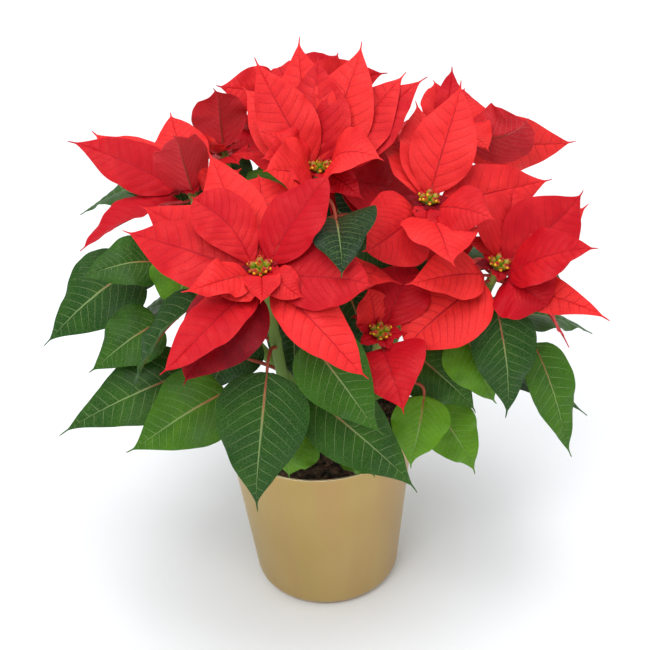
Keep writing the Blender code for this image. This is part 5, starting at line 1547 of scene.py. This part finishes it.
def bract_paint():
    """Red bracts: tone 0 is scarlet and 1 deep crimson, which on some bracts paints shade. Undersides are
    duller, with paler veins.
    """
    made, tree, shader = new_material("poinsettia_bract", 0.52)
    tone, under, stalk = attribute_parts(tree, "leaf_kind")
    veins = veins_of(tree, 0.12)
    clouds = noise(tree, 42.0, 3.0)
    blend = calculated(tree, "ADD", tone, calculated(tree, "MULTIPLY_ADD", clouds, 0.6, -0.3))
    red = mixed(tree, between(tree, blend, 0.0, 0.6), BRACT_REDS[0], BRACT_REDS[1])
    red = mixed(tree, between(tree, blend, 0.75, 1.25), red, BRACT_REDS[2])
    lines = vein_lines(tree, veins, 0.85, 0.6, 0.22)
    red = mixed(tree, lines, red, DARK_VEIN)
    red = mixed(tree, under, red, mixed(tree, lines, *BRACT_BELOW))
    red = mixed(tree, between(tree, stalk, 0.1, 0.35), red, BRACT_STALK_RED)
    red = mixed(tree, between(tree, stalk, 0.6, 0.95), red, STEM_END_GREEN)
    tree.links.new(red, shader.inputs["Base Color"])
    tree.links.new(between(tree, clouds, 0.3, 0.7, 0.46, 0.60), shader.inputs["Roughness"])
    shader.inputs["Subsurface Weight"].default_value = 0.15
    shader.inputs["Subsurface Radius"].default_value = (1.0, 0.15, 0.12)
    shader.inputs["Subsurface Scale"].default_value = 0.002
    shader.inputs["Specular IOR Level"].default_value = 0.14
    bumped(tree, shader, veins["Relief"], 0.00030, 0.8)
    return made


red_paint = bract_paint()
flowers = {head.number: Growth() for head in heads}
for head in heads:
    hub_middles = [head.middle - head.axis * depth for depth in np.linspace(HUB_LENGTH, 0, HUB_FINE_ROWS)]
    hub = tube(hub_middles, [HUB_RADIUS] * HUB_FINE_ROWS, STEM_FINE_SIDES)
    flowers[head.number].add(*hub, NO_VEINS, STEM_KIND)
for name, kind, head, blade in blades:
    if kind == "bracts":
        tone = BRACT_TONES_AND_SHADE.get(name, draw.uniform(*BRACT_TONE_RANGE))
        shift = draw.uniform(0, MOST_VEIN_SHIFT)
        flowers[head.number].blade(blade, tone, shift, BRACT_SIDE_VEINS, QUILT)
for head in heads:
    foot = head.middle - head.axis * YOUNG_BRACT_DEPTH
    for k in range(YOUNG_BRACTS):
        heading = 360 * k / YOUNG_BRACTS + YOUNG_BRACT_TURN * head.number
        outward = turn(head.axis, heading) @ unit(crossed(head.axis, ASKEW))
        tip = foot + outward * draw.uniform(*YOUNG_BRACT_LENGTHS)
        tip = tip + head.axis * draw.uniform(*YOUNG_BRACT_RISES)
        young = Blade(foot, foot + outward * HUB_RADIUS, tip, face=head.axis, **YOUNG_BRACT_SHAPE)
        tone = draw.uniform(*YOUNG_BRACT_TONES)
        shift = draw.uniform(0, MOST_VEIN_SHIFT)
        flowers[head.number].blade(young, tone, shift, YOUNG_SIDE_VEINS, YOUNG_QUILT)
for number, growth in flowers.items():
    piece = growth.piece(f"red_bracts_{number}", red_paint)
    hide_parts(f"bracts_{number}")


# The cyathia: clusters of small yellow-green cups in the middle of each head, with red tips and yellow
# glands. They grow on the flat end of the stem, with a ring of smaller, younger cups round their foot.

CYATHIA_DISC_RADIUS = 4.6
CYATHIA_DISC_HEIGHT = 2.2
CYATHIA_DISC_TAPER = 1.2
CYATHIA_COUNT = 5
CYATHIA_SEED = 5
CUP_FOOT = 0.8
CUP_RING_RADIUS = 3.4
CUP_RADIUS = 2.4
CUP_LENGTHS = (5.2, 6.6)
CUP_LEANS = (0.45, 0.8)

# The fine cups, with radii and heights as shares of a cup's own: an egg that is open at its top, a gland on
# its lip and a tuft of tips in its opening.
CUP_SIDES = 14
EGG = [(0, 0), (0.55, 0.05), (0.84, 0.22), (0.96, 0.48), (0.90, 0.70), (0.74, 0.88), (0.60, 0.96),
       (0.44, 0.92), (0, 0.86)]
BALL = [(0, -1), (0.6, -0.8), (0.95, -0.3), (0.95, 0.3), (0.6, 0.8), (0, 1)]
GLAND_PLACE = (0.80, 0.74)
GLAND_SIZE = (1.15, 0.75)
GLAND_SIDES = 10
TIPS = 9
TIP_FOOT = 0.86
TIP_LENGTHS = (0.16, 0.30)
TIP_SPREAD = 0.4
TIP_STALK_RADII = (0.28, 0.22)
TIP_STALK_SIDES = 6
TIP_SIZE = (0.52, 0.45)
TIP_SIDES = 7
DISC_SIDES = 20
YOUNG_CUPS = 5
YOUNG_CUP_OUT = 0.4
YOUNG_CUP_LEANS = (0.9, 1.4)
YOUNG_CUP_LENGTHS = (3.0, 4.2)
YOUNG_CUP_RADIUS = 1.5
# The cup that stands straight has no outer side, and this way stands in for it.
ANY_SIDE = np.array([0.1, 0.2, 0.9])

# The first value of leaf_kind tells green, yellow and red apart.
CUP_GREEN = (0.0, 0.0, 0.0)
GLAND_YELLOW = (0.5, 0.0, 0.0)
TIP_RED = (1.0, 0.0, 0.0)
CUP_GREENS = ((0.12, 0.24, 0.012), (0.33, 0.38, 0.02))
CUP_TOP_RED = (0.45, 0.10, 0.01)
GLAND_COLOUR = (0.78, 0.46, 0.01)
TIP_COLOUR = (0.50, 0.010, 0.012)


def disc_solid(head, sides):
    """The disc on the hub's end that the cups stand on."""
    foot = head.middle + head.axis * TOUCH_GAP
    radii = [CYATHIA_DISC_RADIUS, CYATHIA_DISC_RADIUS - CYATHIA_DISC_TAPER]
    return tube([foot, foot + head.axis * CYATHIA_DISC_HEIGHT], radii, sides)


def cup_places(head, draw):
    """Where a head's cups stand, as (foot, axis, length, radius): one in the middle, the rest round it."""
    foot = head.middle + head.axis * (TOUCH_GAP + CUP_FOOT)
    right = unit(crossed(head.axis, ASKEW))
    above = crossed(head.axis, right)
    places = [(foot, head.axis, CUP_LENGTHS[1], CUP_RADIUS)]
    for k in range(CYATHIA_COUNT):
        a = 2 * math.pi * k / CYATHIA_COUNT + draw.uniform(-0.15, 0.15)
        outward = right * math.cos(a) + above * math.sin(a)
        leaning = unit(head.axis + outward * draw.uniform(*CUP_LEANS))
        places.append((foot + outward * CUP_RING_RADIUS, leaning, draw.uniform(*CUP_LENGTHS), CUP_RADIUS))
    return places


def round_body(foot, axis, profile, sides):
    """A closed turned body along an axis, from (radius, height) pairs that start and end at radius 0."""
    right = unit(crossed(np.array(axis), ASKEW))
    above = crossed(np.array(axis), right)
    points, rings = [], []
    for radius, height in profile:
        middle = foot + axis * height
        if radius == 0:
            rings.append([len(points)])
            points.append(middle)
            continue
        rings.append(range(len(points), len(points) + sides))
        for a in np.linspace(0, 2 * math.pi, sides, endpoint=False):
            points.append(middle + radius * (right * math.cos(a) + above * math.sin(a)))
    faces = []
    for low, high in zip(rings, rings[1:]):
        for n in range(sides):
            m = (n + 1) % sides
            if len(low) == 1:
                faces.append((low[0], high[m], high[n]))
            elif len(high) == 1:
                faces.append((low[n], low[m], high[0]))
            else:
                faces.append((low[n], low[m], high[m], high[n]))
    return np.array(points), faces


def scaled(profile, size):
    """A profile at the radius and the height of size."""
    return [(size[0] * radius, size[1] * height) for radius, height in profile]


def cup(growth, foot, axis, length, radius, outward, draw):
    """Adds one cup: an egg open at its top, a yellow gland on its outer lip and a tuft of red tips."""
    points, faces = round_body(foot, axis, scaled(EGG, (radius, length)), CUP_SIDES)
    rise = (points - foot) @ axis / length
    growth.add(points, faces, NO_VEINS, np.stack([0 * rise, 0 * rise, rise], axis=1))
    lip = foot + axis * (GLAND_PLACE[1] * length) + outward * (GLAND_PLACE[0] * radius)
    gland = round_body(lip, unit(outward + 0.7 * axis), scaled(BALL, GLAND_SIZE), GLAND_SIDES)
    growth.add(*gland, NO_VEINS, GLAND_YELLOW)
    foot_of_tips = foot + axis * (TIP_FOOT * length)
    for _ in range(TIPS):
        side = unit(axis + np.array([draw.gauss(0, TIP_SPREAD) for _ in range(3)]))
        end = foot_of_tips + side * draw.uniform(*TIP_LENGTHS) * length
        growth.add(*tube([foot_of_tips, end], TIP_STALK_RADII, TIP_STALK_SIDES), NO_VEINS, CUP_GREEN)
        growth.add(*round_body(end, side, scaled(BALL, TIP_SIZE), TIP_SIDES), NO_VEINS, TIP_RED)


def cup_paint():
    """Yellow-green cups that redden towards their tops, yellow glands and red tips."""
    made, tree, shader = new_material("cyathia", 0.42)
    kind, _, rise = attribute_parts(tree, "leaf_kind")
    clouds = noise(tree, 300.0, 2.0)
    green = mixed(tree, between(tree, clouds, 0.35, 0.65), *CUP_GREENS)
    green = mixed(tree, between(tree, rise, 0.62, 0.92), green, CUP_TOP_RED)
    colour = mixed(tree, between(tree, kind, 0.2, 0.3), green, GLAND_COLOUR)
    colour = mixed(tree, between(tree, kind, 0.7, 0.8), colour, TIP_COLOUR)
    tree.links.new(colour, shader.inputs["Base Color"])
    bumped(tree, shader, clouds, 0.0001, 0.5)
    return made


yellow_paint = cup_paint()
draw = random.Random(CYATHIA_SEED)
for head in heads:
    growth = Growth()
    growth.add(*disc_solid(head, DISC_SIDES), NO_VEINS, CUP_GREEN)
    for foot, leaning, length, radius in cup_places(head, draw):
        away = leaning - (leaning @ head.axis) * head.axis
        away = unit(away if np.linalg.norm(away) > 0.05 else crossed(head.axis, ANY_SIDE))
        cup(growth, foot, leaning, length, radius, away, draw)
    for k in range(YOUNG_CUPS):
        outward = turn(head.axis, 360 * (k + 0.5) / YOUNG_CUPS) @ unit(crossed(head.axis, ASKEW))
        foot = head.middle + head.axis * CUP_FOOT + outward * (CUP_RING_RADIUS + YOUNG_CUP_OUT)
        leaning = unit(head.axis + outward * draw.uniform(*YOUNG_CUP_LEANS))
        cup(growth, foot, leaning, draw.uniform(*YOUNG_CUP_LENGTHS), YOUNG_CUP_RADIUS, outward, draw)
    piece = growth.piece(f"cyathia_cups_{head.number}", yellow_paint)
    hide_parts(f"cyathia_{head.number}")
